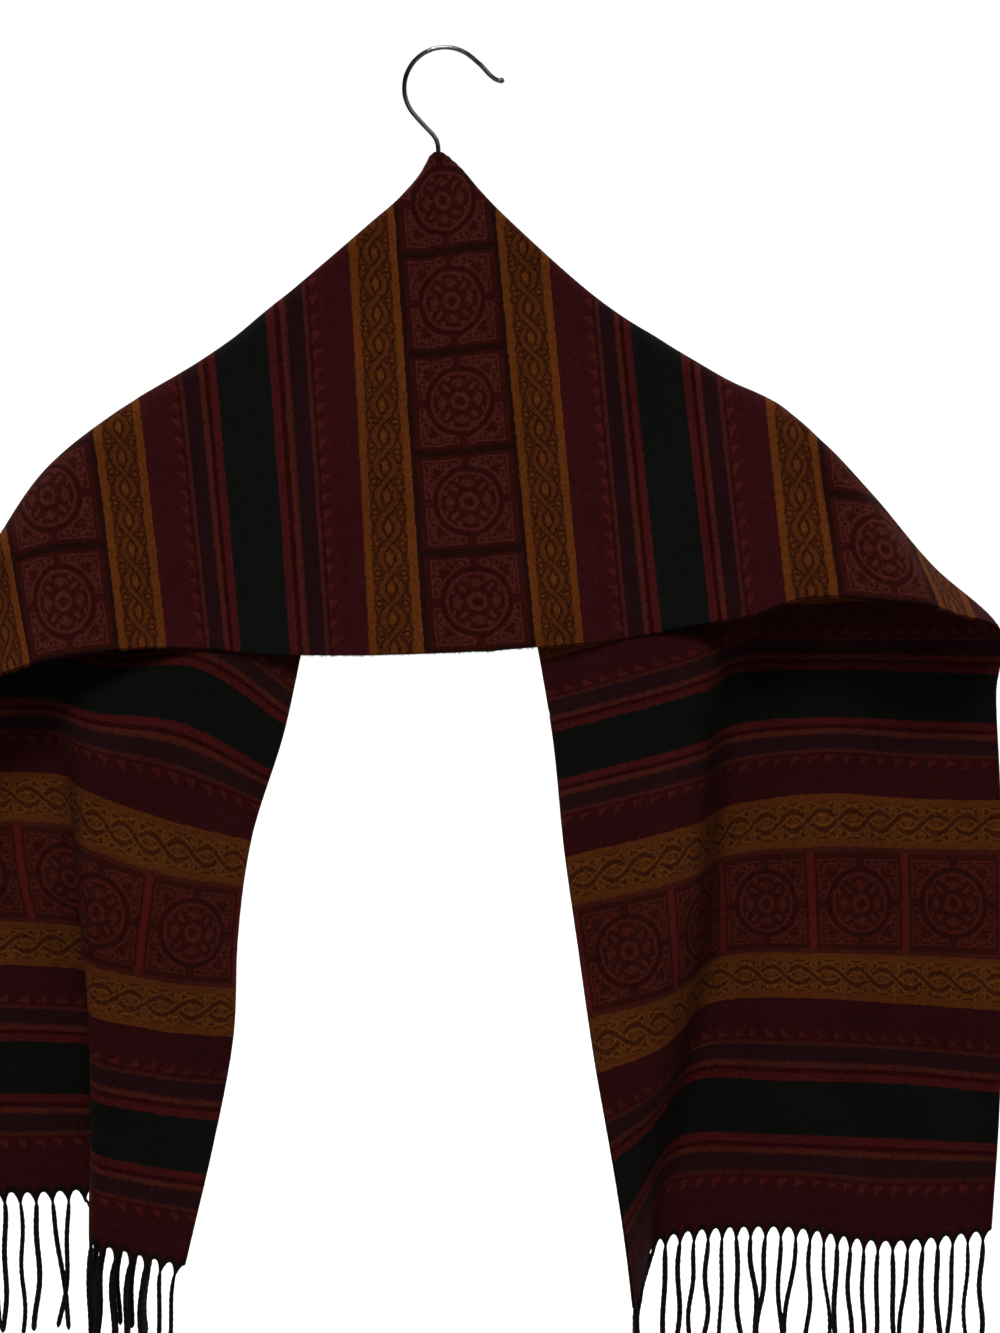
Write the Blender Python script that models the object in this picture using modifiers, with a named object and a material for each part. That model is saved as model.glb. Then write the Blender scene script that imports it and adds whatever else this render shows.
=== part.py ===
"""Long woven scarf, draped over a wire clothes hanger like a shawl.

Frame: metres in the finished meshes, +Z up, front towards -Y. The origin is the inner top of the
hook, where it hangs on a rail. All sizes below are millimetres.

The scarf is one strip of cloth. "Along" is the distance from the middle of its length, and
"across" runs from 0 at the selvedge at the neck to CLOTH_WIDTH at the selvedge at the front hem.
The middle of the strip hangs in front as a panel. It turns back over the hanger along a sloping
fold on each side, and both ends hang behind it as tails.
"""

import math

import bmesh
import bpy
import numpy as np

MM = 0.001

# ---------------------------------------------------------------- driving sizes
CLOTH_WIDTH = 325.0
CLOTH_HALF = 750.0
WALL = 2.0
SEAM_GAP = 0.3
SEAM_BELOW_BEND = 4.0
NARROWEST_PANEL = 14.0
CENTRED_BELOW = 12.0
HEM_SWELL_POWER = 1.6

FRINGE_STRANDS = 32
FRINGE_LENGTH = 88.0
STRAND_THICK = 2.3
BACKING_HEIGHT = 3.0

WIRE_THICK = 3.0
HOOK_RADIUS = 26.5
NECK_X = -4.4
NECK_Z = -112.0
SHOULDER_END = {"left": (-222.0, -249.5), "right": (234.0, -249.5)}
BAR_Z = -266.0

# ---------------------------------------------------------------- the folded middle
# A row for each section: where the fold crosses the cloth, measured from the neck selvedge, half
# the thickness of the roll at the fold, and the place of the front panel's lower edge.
FOLD_COLUMNS = "along v_fold radius hem_x hem_y hem_z".split()
FOLD_RIGHT = [
    (0, 0, 3.2, 24, -11, -391),
    (5, 0.6, 3.2, 29, -11, -391),
    (12, 9, 3.3, 36, -11, -390),
    (25, 26, 3.8, 49, -11, -389),
    (50, 54, 5, 73.5, -12, -387),
    (93, 97, 7, 115, -13, -383),
    (135, 136, 9, 156, -16, -375),
    (178, 170, 11, 196, -24, -368),
    (220, 203, 13, 236, -38, -356),
    (270, 243, 16, 289, -46, -359.5),
    (320, 287, 19, 328, -36, -366.5),
    (361, 325, 22, 361, 6, -378),
    (410, 371, 24, 361, 20, -426),
    (750, 691, 24, 353, 30, -768),
]
FOLD_LEFT = [
    (0, 0, 3.2, 24, -11, -391),
    (5, 0.6, 3.2, 18, -11, -391),
    (12, 8, 3.3, 10, -11, -391.5),
    (25, 22, 3.8, -3, -11, -392),
    (50, 45, 5, -32.5, -12, -393),
    (93, 77, 7, -74, -13, -393.5),
    (135, 107, 9, -117, -16, -392.5),
    (178, 138, 11, -156, -22, -389),
    (220, 168, 13, -195, -30, -388.5),
    (270, 201, 16, -240, -40, -394),
    (320, 237, 19, -276.5, -46, -403),
    (385, 281, 22, -327, -38, -424),
    (452, 325, 24, -387, 8, -452.5),
    (500, 363, 24, -384, 24, -499),
    (750, 561, 24, -366, 34, -745),
]
# The crest of the fold and, past the tip, the outer selvedge: along, x, y, z.
# y is the depth of the cloth's back layer there.
OUTER_RIGHT = [
    (0, -4.4, 0, -67.5), (5, -0.4, 2.8, -68.5), (12, 7.5, 3.3, -75.5), (25, 21.5, 3.8, -92),
    (50, 48.5, 5, -118.5), (93, 95, 7, -160), (135, 135, 9, -187), (178, 180, 11, -213.5),
    (220, 224, 13, -237), (270, 275.5, 18, -288.5), (320, 318, 23, -336.5), (361, 361, 28, -377.5),
    (400, 361, 30, -417), (473, 364, 30, -488), (540, 365, 30, -557), (607, 365, 30, -627),
    (675, 363, 30, -697), (750, 358, 30, -773),
]
OUTER_LEFT = [
    (0, -4.4, 0, -67.5), (5, -8.4, 2.8, -68.5), (12, -14, 3.3, -79), (25, -25.5, 3.8, -93.5),
    (50, -47, 5, -112.5), (93, -90, 7, -149.5), (135, -133.5, 9, -185.5), (178, -175, 11, -213.5),
    (220, -213.5, 13, -236.5), (270, -260, 18, -274), (320, -296, 23, -325), (385, -342, 28, -387.5),
    (452, -387, 32, -452), (500, -384, 34, -499), (560, -379, 34, -560), (607, -375, 33, -606),
    (675, -371, 32, -674.5), (750, -366, 30, -745),
]

# ---------------------------------------------------------------- the tails
# Each table is one line down a tail, along an edge or a fold: along, x, y, z.
# They are listed from the neck selvedge outwards.
INNER_RIGHT = [
    (0, -4.4, 0, -67.5), (5, -0.6, 2.8, -68.5), (12, 0.6, 3.3, -75), (50, 8, 4, -112),
    (180, 33, 3, -241), (270, 50, 1, -332), (330, 61, -2, -391), (390, 70, -8, -445),
    (473, 78, -22, -523), (540, 87.5, -28, -590), (607, 98, -34, -663), (675, 111, -38, -736),
    (750, 121.5, -40, -815),
]
INNER_LEFT = [
    (0, -4.4, 0, -67.5), (5, -8.2, 2.8, -68.5), (12, -9.6, 3.3, -75), (50, -19, 4, -111),
    (180, -54, 3, -236), (270, -79, 1, -325), (330, -92, -2, -384), (390, -104, -4, -441),
    (473, -126, -8, -514), (540, -134.5, -10, -577), (607, -137.5, -10, -642), (675, -151, -10, -713),
    (750, -169, -10, -791),
]
TAIL_RIGHT = {
    "before the crease": [
        (405, 166, -12, -433), (473, 158, -12, -503), (540, 149, -12, -577),
        (607, 139, -12, -648), (675, 127, -14, -720), (750, 126, -24, -804),
    ],
    "after the crease": [
        (405, 194, 32, -421), (473, 190, 38, -491), (540, 186, 40, -559),
        (607, 174, 42, -623), (675, 159, 42, -691), (750, 138, 36, -781),
    ],
    "first wave": [
        (405, 254, 19, -418), (473, 250, 20, -483), (540, 246, 20, -556),
        (607, 236, 20, -618), (675, 220, 18, -689), (750, 217, 15, -769),
    ],
    "second wave": [
        (405, 310, 32, -420), (473, 306, 34, -487), (540, 304, 34, -556),
        (607, 300, 36, -623), (675, 290, 36, -692), (750, 289, 36, -781),
    ],
}
TAIL_LEFT = {
    "front of the bow": [
        (430, -172, -26, -448), (473, -178, -28, -500), (540, -182, -30, -570),
        (607, -186, -28, -636), (675, -192, -26, -706), (750, -200, -24, -782),
    ],
    "pleat edge, front": [
        (430, -236, -14, -437), (473, -237, -20, -478), (540, -233, -27, -555),
        (607, -227, -30, -625.5), (675, -226, -31, -697), (750, -227, -31, -772),
    ],
    "pleat edge, back": [
        (430, -243, -6, -434), (473, -241, -10, -475), (540, -236, -16, -551),
        (607, -229, -18, -621), (675, -228, -18, -692), (750, -229, -18, -768),
    ],
    "hidden turn, front": [
        (430, -248, 0, -432.5), (473, -243, -2, -473.5), (540, -231, -6, -548),
        (607, -212, -9, -611), (675, -200, -9, -680), (750, -189, -8, -757),
    ],
    "hidden turn, back": [
        (430, -254, 8, -431), (473, -250, 8, -471.5), (540, -234, 7, -543),
        (607, -212, 6, -606), (675, -200, 7, -673), (750, -189, 8, -750),
    ],
    "dark turn": [
        (430, -282, 16, -430), (473, -279, 14, -470), (540, -278, 14, -537),
        (607, -278, 16, -597), (675, -278, 18, -663), (750, -280, 20, -747),
    ],
    "hollow": [
        (430, -326, 44, -436), (473, -322, 52, -472), (540, -318, 54, -538),
        (607, -317, 52, -600), (675, -316, 50, -667), (750, -316, 46, -748),
    ],
}
STRAIGHT_UNTIL = 240.0

TAIL_SPANS = {"right": (5, 4, 3, 2, 3), "left": (3, 2, 3, 3, 3, 3, 3, 3)}

# Sections that the panel and the tails share, so that their edges run side by side.
SECTION_PLACES = [26.0, 36.0, 50.0] + [float(place) for place in range(68, 740, 20)] + [CLOTH_HALF]


# ---------------------------------------------------------------- reading the tables
def read_table(rows, at):
    """Read a table by a smooth cubic curve; the first column is the place along the scarf."""
    table = np.asarray(rows, float)
    places = table[:, 0]
    slopes = np.gradient(table[:, 1:], places, axis=0)
    k = int(np.clip(np.searchsorted(places, at) - 1, 0, len(places) - 2))
    step = places[k + 1] - places[k]
    w = min(max((at - places[k]) / step, 0.0), 1.0)
    start, end = table[k, 1:], table[k + 1, 1:]
    return (
        start * (2 * w**3 - 3 * w**2 + 1)
        + end * (3 * w**2 - 2 * w**3)
        + slopes[k] * step * (w**3 - 2 * w**2 + w)
        + slopes[k + 1] * step * (w**3 - w**2)
    )


def fold_at(side, along):
    """The folded middle's measures at one section, with the slope of the fold in the cloth."""
    rows = FOLD_RIGHT if side == "right" else FOLD_LEFT
    fold = dict(zip(FOLD_COLUMNS[1:], read_table(rows, along)))
    step = 4.0
    rise = read_table(rows, along + step)[0] - read_table(rows, max(along - step, 0.0))[0]
    run = min(along + step, CLOTH_HALF) - max(along - step, 0.0)
    fold["cosine"] = math.cos(math.atan2(rise, run))
    fold["crest"] = read_table(OUTER_RIGHT if side == "right" else OUTER_LEFT, along)
    return fold


def rolled(distance, radius):
    """How far below the crest a point lies that is this far along the cloth from the crest."""
    quarter = 0.5 * math.pi * radius
    if distance < quarter:
        return radius * (1.0 - math.cos(distance / radius))
    return distance - quarter + radius


def curve_through(points, samples=24):
    """A dense smooth curve through points, and the share of its length at each sample."""
    points = np.asarray(points, float)
    chords = np.linalg.norm(np.diff(points, axis=0), axis=1)
    knots = np.concatenate([[0.0], np.cumsum(np.maximum(chords, 0.01))])
    table = np.column_stack([knots, points])
    places = np.concatenate(
        [np.linspace(a, b, samples, endpoint=False) for a, b in zip(knots, knots[1:])] + [[knots[-1]]]
    )
    dense = np.array([read_table(table, place) for place in places])
    lengths = np.linalg.norm(np.diff(dense, axis=0), axis=1)
    share = np.concatenate([[0.0], np.cumsum(lengths)])
    return dense, share / share[-1]


# ---------------------------------------------------------------- the surface of the cloth
class TailSection:
    """One section across the cloth behind the fold, from the neck selvedge to the fold or edge."""

    def __init__(self, side, along):
        self.fold = fold_at(side, along)
        self.width = min(CLOTH_WIDTH, self.fold["v_fold"])
        inner = read_table(INNER_RIGHT if side == "right" else INNER_LEFT, along)
        outer = self.fold["crest"]
        lines = (TAIL_RIGHT if side == "right" else TAIL_LEFT).values()
        points = [inner]
        for number, rows in enumerate(lines, start=1):
            points.append(self.line_point(side, rows, number / (len(lines) + 1), along, inner, outer))
        points.append(outer)
        self.points, self.share = curve_through(points)
        self.line_share = self.share[:: (len(self.share) - 1) // (len(points) - 1)]

    @staticmethod
    def line_point(side, rows, part, along, inner, outer):
        """A fold's place: from its table low down, and on the straight section high up."""
        first = rows[0][0]
        straight = inner + (outer - inner) * part
        if along <= STRAIGHT_UNTIL:
            return straight
        if along >= first:
            return read_table(rows, along)
        w = (along - STRAIGHT_UNTIL) / (first - STRAIGHT_UNTIL)
        w = w * w * (3.0 - 2.0 * w)
        slope = (np.array(rows[1][1:]) - np.array(rows[0][1:])) / (rows[1][0] - first)
        lower = np.array(rows[0][1:]) + slope * (along - first)
        return straight * (1.0 - w) + lower * w

    def at(self, across):
        """The point of the cloth's middle surface at one place across the section."""
        fold = self.fold
        radius = fold["radius"]
        past = (fold["v_fold"] - across) * fold["cosine"]
        edge = rolled((fold["v_fold"] - self.width) * fold["cosine"], radius)
        neck = rolled(fold["v_fold"] * fold["cosine"], radius)
        share = 1.0 - (rolled(past, radius) - edge) / max(neck - edge, 0.01)
        point = np.array([np.interp(share, self.share, self.points[:, i]) for i in range(3)])
        point[1] -= radius * (1.0 - math.sin(min(past / radius, 0.5 * math.pi)))
        return point


def panel_point(side, along, across):
    """The point of the front panel's middle surface, at and below the fold."""
    fold = fold_at(side, along)
    radius = fold["radius"]
    past = (across - fold["v_fold"]) * fold["cosine"]
    hem = max((CLOTH_WIDTH - fold["v_fold"]) * fold["cosine"], 0.01)
    share = rolled(past, radius) / rolled(hem, radius)
    crest_x, back_y, crest_z = fold["crest"]

    def hanging_y(distance):
        centre_y = (back_y - radius) * math.exp(-distance / CENTRED_BELOW)
        return centre_y - radius * math.sin(min(distance / radius, 0.5 * math.pi))

    swell = (fold["hem_y"] - hanging_y(hem)) * (past / hem) ** HEM_SWELL_POWER
    x = crest_x + (fold["hem_x"] - crest_x) * share
    z = crest_z + (fold["hem_z"] - crest_z) * share
    return np.array([x, hanging_y(past) + swell, z])


def cloth_point(side, along, across, section=None):
    """The cloth's middle surface anywhere, in front of the fold or behind it."""
    fold = fold_at(side, along)
    if across >= fold["v_fold"] and fold["v_fold"] < CLOTH_WIDTH:
        return panel_point(side, along, across)
    section = section or TailSection(side, along)
    return section.at(min(across, CLOTH_WIDTH))


def seam_across(side, along):
    """Where the front panel's node ends and the tail's node begins, behind the fold."""
    fold = fold_at(side, along)
    return fold["v_fold"] - (0.5 * math.pi * fold["radius"] + SEAM_BELOW_BEND) / fold["cosine"]


# ---------------------------------------------------------------- making the meshes
def new_collection(name):
    collection = bpy.data.collections.new(name)
    bpy.context.scene.collection.children.link(collection)
    return collection


def material(name, colour, roughness, metallic=0.0):
    made = bpy.data.materials.new(name)
    made.use_nodes = True
    shader = made.node_tree.nodes["Principled BSDF"]
    shader.inputs["Base Color"].default_value = (*colour, 1.0)
    shader.inputs["Roughness"].default_value = roughness
    shader.inputs["Metallic"].default_value = metallic
    made.diffuse_color = (*colour, 1.0)
    return made


def add_object(collection, name, data, finish):
    made = bpy.data.objects.new(name, data)
    data.materials.append(finish)
    collection.objects.link(made)
    return made


def cloth_wall(collection, name, grid, finish):
    """A sheet through a grid of points, thickened to the cloth's wall."""
    mesh = bpy.data.meshes.new(name)
    bm = bmesh.new()
    rows = [[bm.verts.new(point * MM) for point in line] for line in grid]
    for line, after in zip(rows, rows[1:]):
        for a, b, c, d in zip(line, line[1:], after[1:], after):
            bm.faces.new((a, b, c, d))
    bmesh.ops.recalc_face_normals(bm, faces=bm.faces)
    bm.to_mesh(mesh)
    bm.free()
    mesh.shade_smooth()
    sheet = add_object(collection, name, mesh, finish)
    wall = sheet.modifiers.new("wall", "SOLIDIFY")
    wall.thickness = WALL * MM
    wall.offset = 0.0
    wall.use_even_offset = False
    return sheet


def wire(collection, name, points, finish, radius=0.5 * WIRE_THICK, resolution=2):
    """A round wire with closed ends through points."""
    data = bpy.data.curves.new(name, "CURVE")
    data.dimensions = "3D"
    data.bevel_depth = radius * MM
    data.bevel_resolution = resolution
    data.use_fill_caps = True
    spline = data.splines.new("POLY")
    spline.points.add(len(points) - 1)
    for spline_point, (x, y, z) in zip(spline.points, points):
        spline_point.co = (x * MM, y * MM, z * MM, 1.0)
    return add_object(collection, name, data, finish)


def arc(centre, radius, start, end, count):
    """Points on a circle in the hanger's plane, from one angle to another, in degrees."""
    angles = [math.radians(start + (end - start) * k / (count - 1)) for k in range(count)]
    return [(centre[0] + radius * math.cos(a), 0.0, centre[1] + radius * math.sin(a)) for a in angles]


# ---------------------------------------------------------------- the pieces
def build_panel(collection, finish):
    """The front stretch of the cloth, with both sloping folds over the hanger."""
    places = [0, 2.5, 5, 8.5, 12, 18] + SECTION_PLACES
    bend_rows, flat_rows = 7, 8
    halves = {}
    for side in ("left", "right"):
        lines = []
        for along in places:
            seam = max(seam_across(side, along), 0.0)
            if CLOTH_WIDTH - seam < NARROWEST_PANEL:
                break
            fold = fold_at(side, along)
            section = TailSection(side, along) if fold["v_fold"] > 0.5 else None
            quarter = 0.5 * math.pi * fold["radius"] / fold["cosine"]
            bend_end = min(fold["v_fold"] + quarter, seam + 0.6 * (CLOTH_WIDTH - seam))
            bend_start = min(max(fold["v_fold"] - quarter, 0.2 * bend_end + 0.8 * seam), bend_end)
            across = [seam] + list(np.linspace(bend_start, bend_end, bend_rows, endpoint=False))
            across += list(np.linspace(bend_end, CLOTH_WIDTH, flat_rows))
            lines.append([cloth_point(side, along, v, section) for v in across])
        halves[side] = lines
    grid = halves["left"][:0:-1] + halves["right"]
    return cloth_wall(collection, "centre_panel", grid, finish)


def tail_line(side, along):
    """The points of one section of a tail, closest together where it bends."""
    section = TailSection(side, along)
    end = min(seam_across(side, along) - 1.5 * SEAM_GAP / section.fold["cosine"], CLOTH_WIDTH)
    across = [0.0]
    for k, count in enumerate(TAIL_SPANS[side]):
        low, high = section.line_share[k] * end, section.line_share[k + 1] * end
        across += list(np.linspace(low, high, count + 1)[1:])
    return across, [section.at(v) for v in across]


def build_tail(collection, side, finish):
    """One end of the cloth, from its fold on the hanger to its fringed hem."""
    grid = [tail_line(side, along)[1] for along in SECTION_PLACES]
    return cloth_wall(collection, side + "_tail", grid, finish)


def build_fringe(collection, side, finish):
    """The strands at one hem, each grown from its own cell of a narrow backing strip."""
    across_hem, hem = tail_line(side, CLOTH_HALF)
    across_above, above = tail_line(side, SECTION_PLACES[-2])
    hem, above = np.array(hem), np.array(above)
    pitch = CLOTH_WIDTH / FRINGE_STRANDS
    half = 0.5 * STRAND_THICK

    def on_line(line, places, across):
        return np.array([np.interp(across, places, line[:, i]) for i in range(3)])

    def frame(across):
        """Centre of the hem, its downward direction and the cloth's thickness direction."""
        centre = on_line(hem, across_hem, across)
        down = centre - on_line(above, across_above, across)
        down /= np.linalg.norm(down)
        step = on_line(hem, across_hem, across + 2.0) - on_line(hem, across_hem, across - 2.0)
        thick = np.cross(step, down)
        return centre, down, thick / np.linalg.norm(thick)

    bm = bmesh.new()
    middles = [(k + 0.5) * pitch for k in range(FRINGE_STRANDS)]
    stations = sorted([middle + step for middle in middles for step in (-half, half)])
    corners = [v for v in across_hem if min(abs(v - middle) for middle in middles) > half + 0.6]
    stations = sorted(stations + corners)
    rings = []
    for across in stations:
        centre, down, thick = frame(across)
        top = centre + down * 1.5 * SEAM_GAP
        bottom = top + down * BACKING_HEIGHT
        corners = [top - thick, top + thick, bottom + thick, bottom - thick]
        rings.append([bm.verts.new(corner * MM) for corner in corners])
    bm.faces.new(rings[0])
    bm.faces.new(rings[-1][::-1])
    strand = 0
    for number, (a, b) in enumerate(zip(rings, rings[1:])):
        has_strand = min(abs(0.5 * (stations[number] + stations[number + 1]) - m) for m in middles) < 0.1
        for i in (0, 1, 3) if has_strand else range(4):
            j = (i + 1) % 4
            bm.faces.new((a[i], b[i], b[j], a[j]))
        if has_strand:
            down = frame(0.5 * (stations[number] + stations[number + 1]))[1]
            grow_strand(bm, [a[2], b[2], b[3], a[3]], down, strand)
            strand += 1
    bmesh.ops.recalc_face_normals(bm, faces=bm.faces)
    mesh = bpy.data.meshes.new(side + "_fringe")
    bm.to_mesh(mesh)
    bm.free()
    return add_object(collection, side + "_fringe", mesh, finish)


def grow_strand(bm, ring, down, number):
    """Carry a cell's lower face down as a four-sided strand with a slight wave."""
    root = np.mean([np.array(vert.co) for vert in ring], axis=0) / MM
    offsets = [np.array(vert.co) / MM - root for vert in ring]
    drops = (8.0, 20.0, 36.0, 54.0, 71.0, FRINGE_LENGTH - BACKING_HEIGHT)
    phase = 2.4 * number
    for drop in drops:
        lean = math.exp(-drop / 12.0)
        side_step = 1.6 * math.sin(drop / 15.0 + phase) * (1.0 - math.exp(-drop / 20.0))
        path = root + np.array([side_step, 0.4 * side_step, -drop])
        path += (down - np.array([0, 0, -1.0])) * 12.0 * (1.0 - lean)
        after = [bm.verts.new((path + offset) * MM) for offset in offsets]
        for i in range(4):
            j = (i + 1) % 4
            bm.faces.new((ring[i], ring[j], after[j], after[i]))
        ring = after
    bm.faces.new(ring)


def build_hook(collection, finish):
    """The hook and its straight stem, which ends inside the cloth at the hanger's neck."""
    centre = (0.0, 0.5 * WIRE_THICK - HOOK_RADIUS)
    tip = [(36.8, 0, -20.2), (34.8, 0, -20.2), (32.2, 0, -19.0), (29.2, 0, -16.6), (23.4, 0, -10.2)]
    round_part = arc(centre, HOOK_RADIUS, 50, 226, 25)
    sweep = [(-13.2, 0, -49.8), (-7.8, 0, -55.4), (-5.6, 0, -58.7), (-4.6, 0, -62.2), (NECK_X, 0, -66)]
    stem = [(NECK_X, 0, NECK_Z + 2.0)]
    return wire(collection, "hanger_hook", tip + round_part + sweep + stem, finish)


def build_hanger(collection, finish):
    """The hidden triangle that carries the cloth: two shoulders and a lower bar."""
    for side, (end_x, end_z) in SHOULDER_END.items():
        sign = 1.0 if side == "right" else -1.0
        start_x = NECK_X + sign * 2.4
        bend = [
            (end_x, 0, end_z),
            (end_x + sign * 6.0, 0, end_z - 5.5),
            (end_x + sign * 6.5, 0, end_z - 11.0),
            (end_x + sign * 1.5, 0, BAR_Z + 1.2),
            (end_x - sign * 5.0, 0, BAR_Z),
        ]
        slope = [(start_x, 0, NECK_Z), (start_x + sign * 8.0, 0, NECK_Z - 3.0)]
        wire(collection, "hanger_shoulder_" + side, slope + bend, finish)
    left = SHOULDER_END["left"][0] + 5.0 + SEAM_GAP
    right = SHOULDER_END["right"][0] - 5.0 - SEAM_GAP
    wire(collection, "hanger_bar", [(left, 0, BAR_Z), (right, 0, BAR_Z)], finish)


def main():
    for old in list(bpy.data.objects):
        bpy.data.objects.remove(old, do_unlink=True)
    collection = new_collection("Long scarf on a hanger")
    wool = material("dark red patterned wool", (0.10, 0.012, 0.012), 0.9)
    reverse = material("gold and plum patterned wool", (0.09, 0.03, 0.012), 0.9)
    yarn = material("twisted dark yarn", (0.012, 0.008, 0.006), 0.85)
    steel = material("polished steel wire", (0.55, 0.55, 0.56), 0.25, 1.0)
    build_hook(collection, steel)
    build_hanger(collection, steel)
    build_panel(collection, wool)
    for side in ("left", "right"):
        build_tail(collection, side, reverse)
        build_fringe(collection, side, yarn)


main()
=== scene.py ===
# %% [markdown]
# # A long wool scarf hung over a wire hanger
#
# The object is one strip of brushed, jacquard-woven wool, 325 mm wide and 1.5 m long, with a
# fringe of twisted yarns at both ends. It hangs over a wire clothes hanger like a shawl: the
# middle of the strip hangs in front as a panel, and both ends hang behind it as tails.
#
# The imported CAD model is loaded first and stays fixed. It gives the place of every part, the
# wire hanger and the plain solids of the cloth. This script dresses it: cloth with soft creases,
# a charted pattern, yarn fringes, loose fibres and light.

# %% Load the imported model
import math

import bmesh
import bpy
import numpy as np
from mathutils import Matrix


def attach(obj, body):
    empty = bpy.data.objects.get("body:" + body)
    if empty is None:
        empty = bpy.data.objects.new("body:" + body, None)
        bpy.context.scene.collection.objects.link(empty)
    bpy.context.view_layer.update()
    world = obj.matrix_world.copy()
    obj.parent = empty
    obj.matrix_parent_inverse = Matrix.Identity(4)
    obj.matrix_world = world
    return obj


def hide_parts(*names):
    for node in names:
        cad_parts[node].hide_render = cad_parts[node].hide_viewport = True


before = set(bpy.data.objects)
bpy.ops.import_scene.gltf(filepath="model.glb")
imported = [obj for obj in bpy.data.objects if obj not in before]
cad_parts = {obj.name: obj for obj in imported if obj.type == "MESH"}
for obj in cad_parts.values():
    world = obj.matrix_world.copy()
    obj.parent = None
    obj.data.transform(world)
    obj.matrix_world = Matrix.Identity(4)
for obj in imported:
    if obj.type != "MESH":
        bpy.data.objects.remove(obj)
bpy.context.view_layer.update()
print("CAD nodes:", ", ".join(sorted(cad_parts)))

MM = 0.001

# %% [markdown]
# ## Camera, floor and light
#
# The camera stands level and straight in front, as for a catalogue picture. The frame takes in
# 0.87 m of height at the hanger, so a long lens three metres away keeps the sides parallel. The
# floor is a pale sheet that curves up behind the object, so no horizon line shows. The lamps are
# large and soft. The key's beam is only as wide as the object, because a brightly lit floor would
# send light back up into the folds, and the cloth should shade its own hollows.

# %% Camera
CAMERA_AWAY = 3.0
VIEW_CENTRE = (0.03575, -0.40105)
VIEW_HEIGHT = 0.8665
SENSOR = 36.0

camera_data = bpy.data.cameras.new("catalogue camera")
camera_data.sensor_width = SENSOR
camera_data.lens = SENSOR * CAMERA_AWAY / VIEW_HEIGHT
camera = bpy.data.objects.new("catalogue camera", camera_data)
camera.location = (VIEW_CENTRE[0], -CAMERA_AWAY, VIEW_CENTRE[1])
camera.rotation_euler = (math.radians(90.0), 0.0, 0.0)
bpy.context.scene.collection.objects.link(camera)
bpy.context.scene.camera = camera
bpy.context.scene.view_settings.view_transform = "Standard"
print(f"Lens {camera_data.lens:.1f} mm at {CAMERA_AWAY} m")


# %% A curved studio sheet
def studio_sheet(floor_z, near_y, bend_y, bend_radius, top_z, half_width):
    """A floor that sweeps up into a backdrop."""
    profile = [(near_y, floor_z), (bend_y, floor_z)]
    for step in range(1, 13):
        angle = math.radians(90.0 * step / 12)
        profile.append(
            (bend_y + bend_radius * math.sin(angle), floor_z + bend_radius * (1.0 - math.cos(angle)))
        )
    profile.append((bend_y + bend_radius, top_z))
    points = [(x, y, z) for y, z in profile for x in (-half_width, half_width)]
    faces = [(i, i + 1, i + 3, i + 2) for i in range(0, len(points) - 2, 2)]
    mesh = bpy.data.meshes.new("studio sheet")
    mesh.from_pydata(points, [], faces)
    mesh.shade_smooth()
    sheet = bpy.data.objects.new("studio_sheet", mesh)
    bpy.context.scene.collection.objects.link(sheet)
    return sheet


backdrop = studio_sheet(-1.15, -6.0, 1.2, 1.4, 4.0, 7.0)

# %% Pale paper for the sheet, and the lamps
paper = bpy.data.materials.new("pale studio paper")
paper.use_nodes = True
paper_shader = paper.node_tree.nodes["Principled BSDF"]
paper_shader.inputs["Base Color"].default_value = (0.86, 0.86, 0.85, 1.0)
paper_shader.inputs["Roughness"].default_value = 0.9
paper_shader.inputs["Specular IOR Level"].default_value = 0.1
backdrop.data.materials.append(paper)


def soft_lamp(name, place, target, size, power, beam=180.0):
    """A square area lamp that points at a target, with the width of its beam in degrees."""
    data = bpy.data.lights.new(name, "AREA")
    data.shape = "SQUARE"
    data.size = size
    data.energy = power
    data.spread = math.radians(beam)
    lamp = bpy.data.objects.new(name, data)
    lamp.location = place
    away = np.array(place) - np.array(target)
    lamp.rotation_euler = (
        math.atan2(math.hypot(away[0], away[1]), away[2]),
        0.0,
        math.atan2(away[1], away[0]) + math.radians(90.0),
    )
    bpy.context.scene.collection.objects.link(lamp)


OBJECT_MIDDLE = (0.0, 0.0, -0.4)
KEY_BEAM = 40.0
soft_lamp("key", (-0.3, -2.9, 2.6), OBJECT_MIDDLE, 1.3, 8.8, KEY_BEAM)
soft_lamp("fill", (1.8, -3.0, 1.6), OBJECT_MIDDLE, 1.6, 14.0)
for name, side in (("backdrop left", -1.0), ("backdrop right", 1.0)):
    soft_lamp(name, (2.6 * side, 0.9, 1.6), (0.9 * side, 2.6, -0.3), 1.6, 84.0)
soft_lamp("behind", (0.4, 2.2, 2.2), OBJECT_MIDDLE, 1.4, 30.0)

world = bpy.data.worlds.new("studio air")
world.use_nodes = True
world.node_tree.nodes["Background"].inputs["Color"].default_value = (0.9, 0.92, 0.95, 1.0)
world.node_tree.nodes["Background"].inputs["Strength"].default_value = 0.05
bpy.context.scene.world = world

# %% [markdown]
# ## The draped strip
#
# On the real scarf, "along" is the distance from the middle of its length and "across" runs from
# the selvedge at the neck to the selvedge at the front hem. A cloth simulation would find some
# drape, but not the one that is wanted, so the drape is read from short tables of lines: where
# the sloping fold crosses the cloth, how thick its roll is, where the front hem hangs, and a few
# lines down each tail. They are the same tables that shape the CAD solids, in millimetres, read
# here at a much finer step.

# %% Sizes and tables of the drape
CLOTH_WIDTH = 325.0
CLOTH_HALF = 750.0
CENTRED_BELOW = 12.0
HEM_SWELL_POWER = 1.6
STRAIGHT_UNTIL = 240.0

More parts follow.
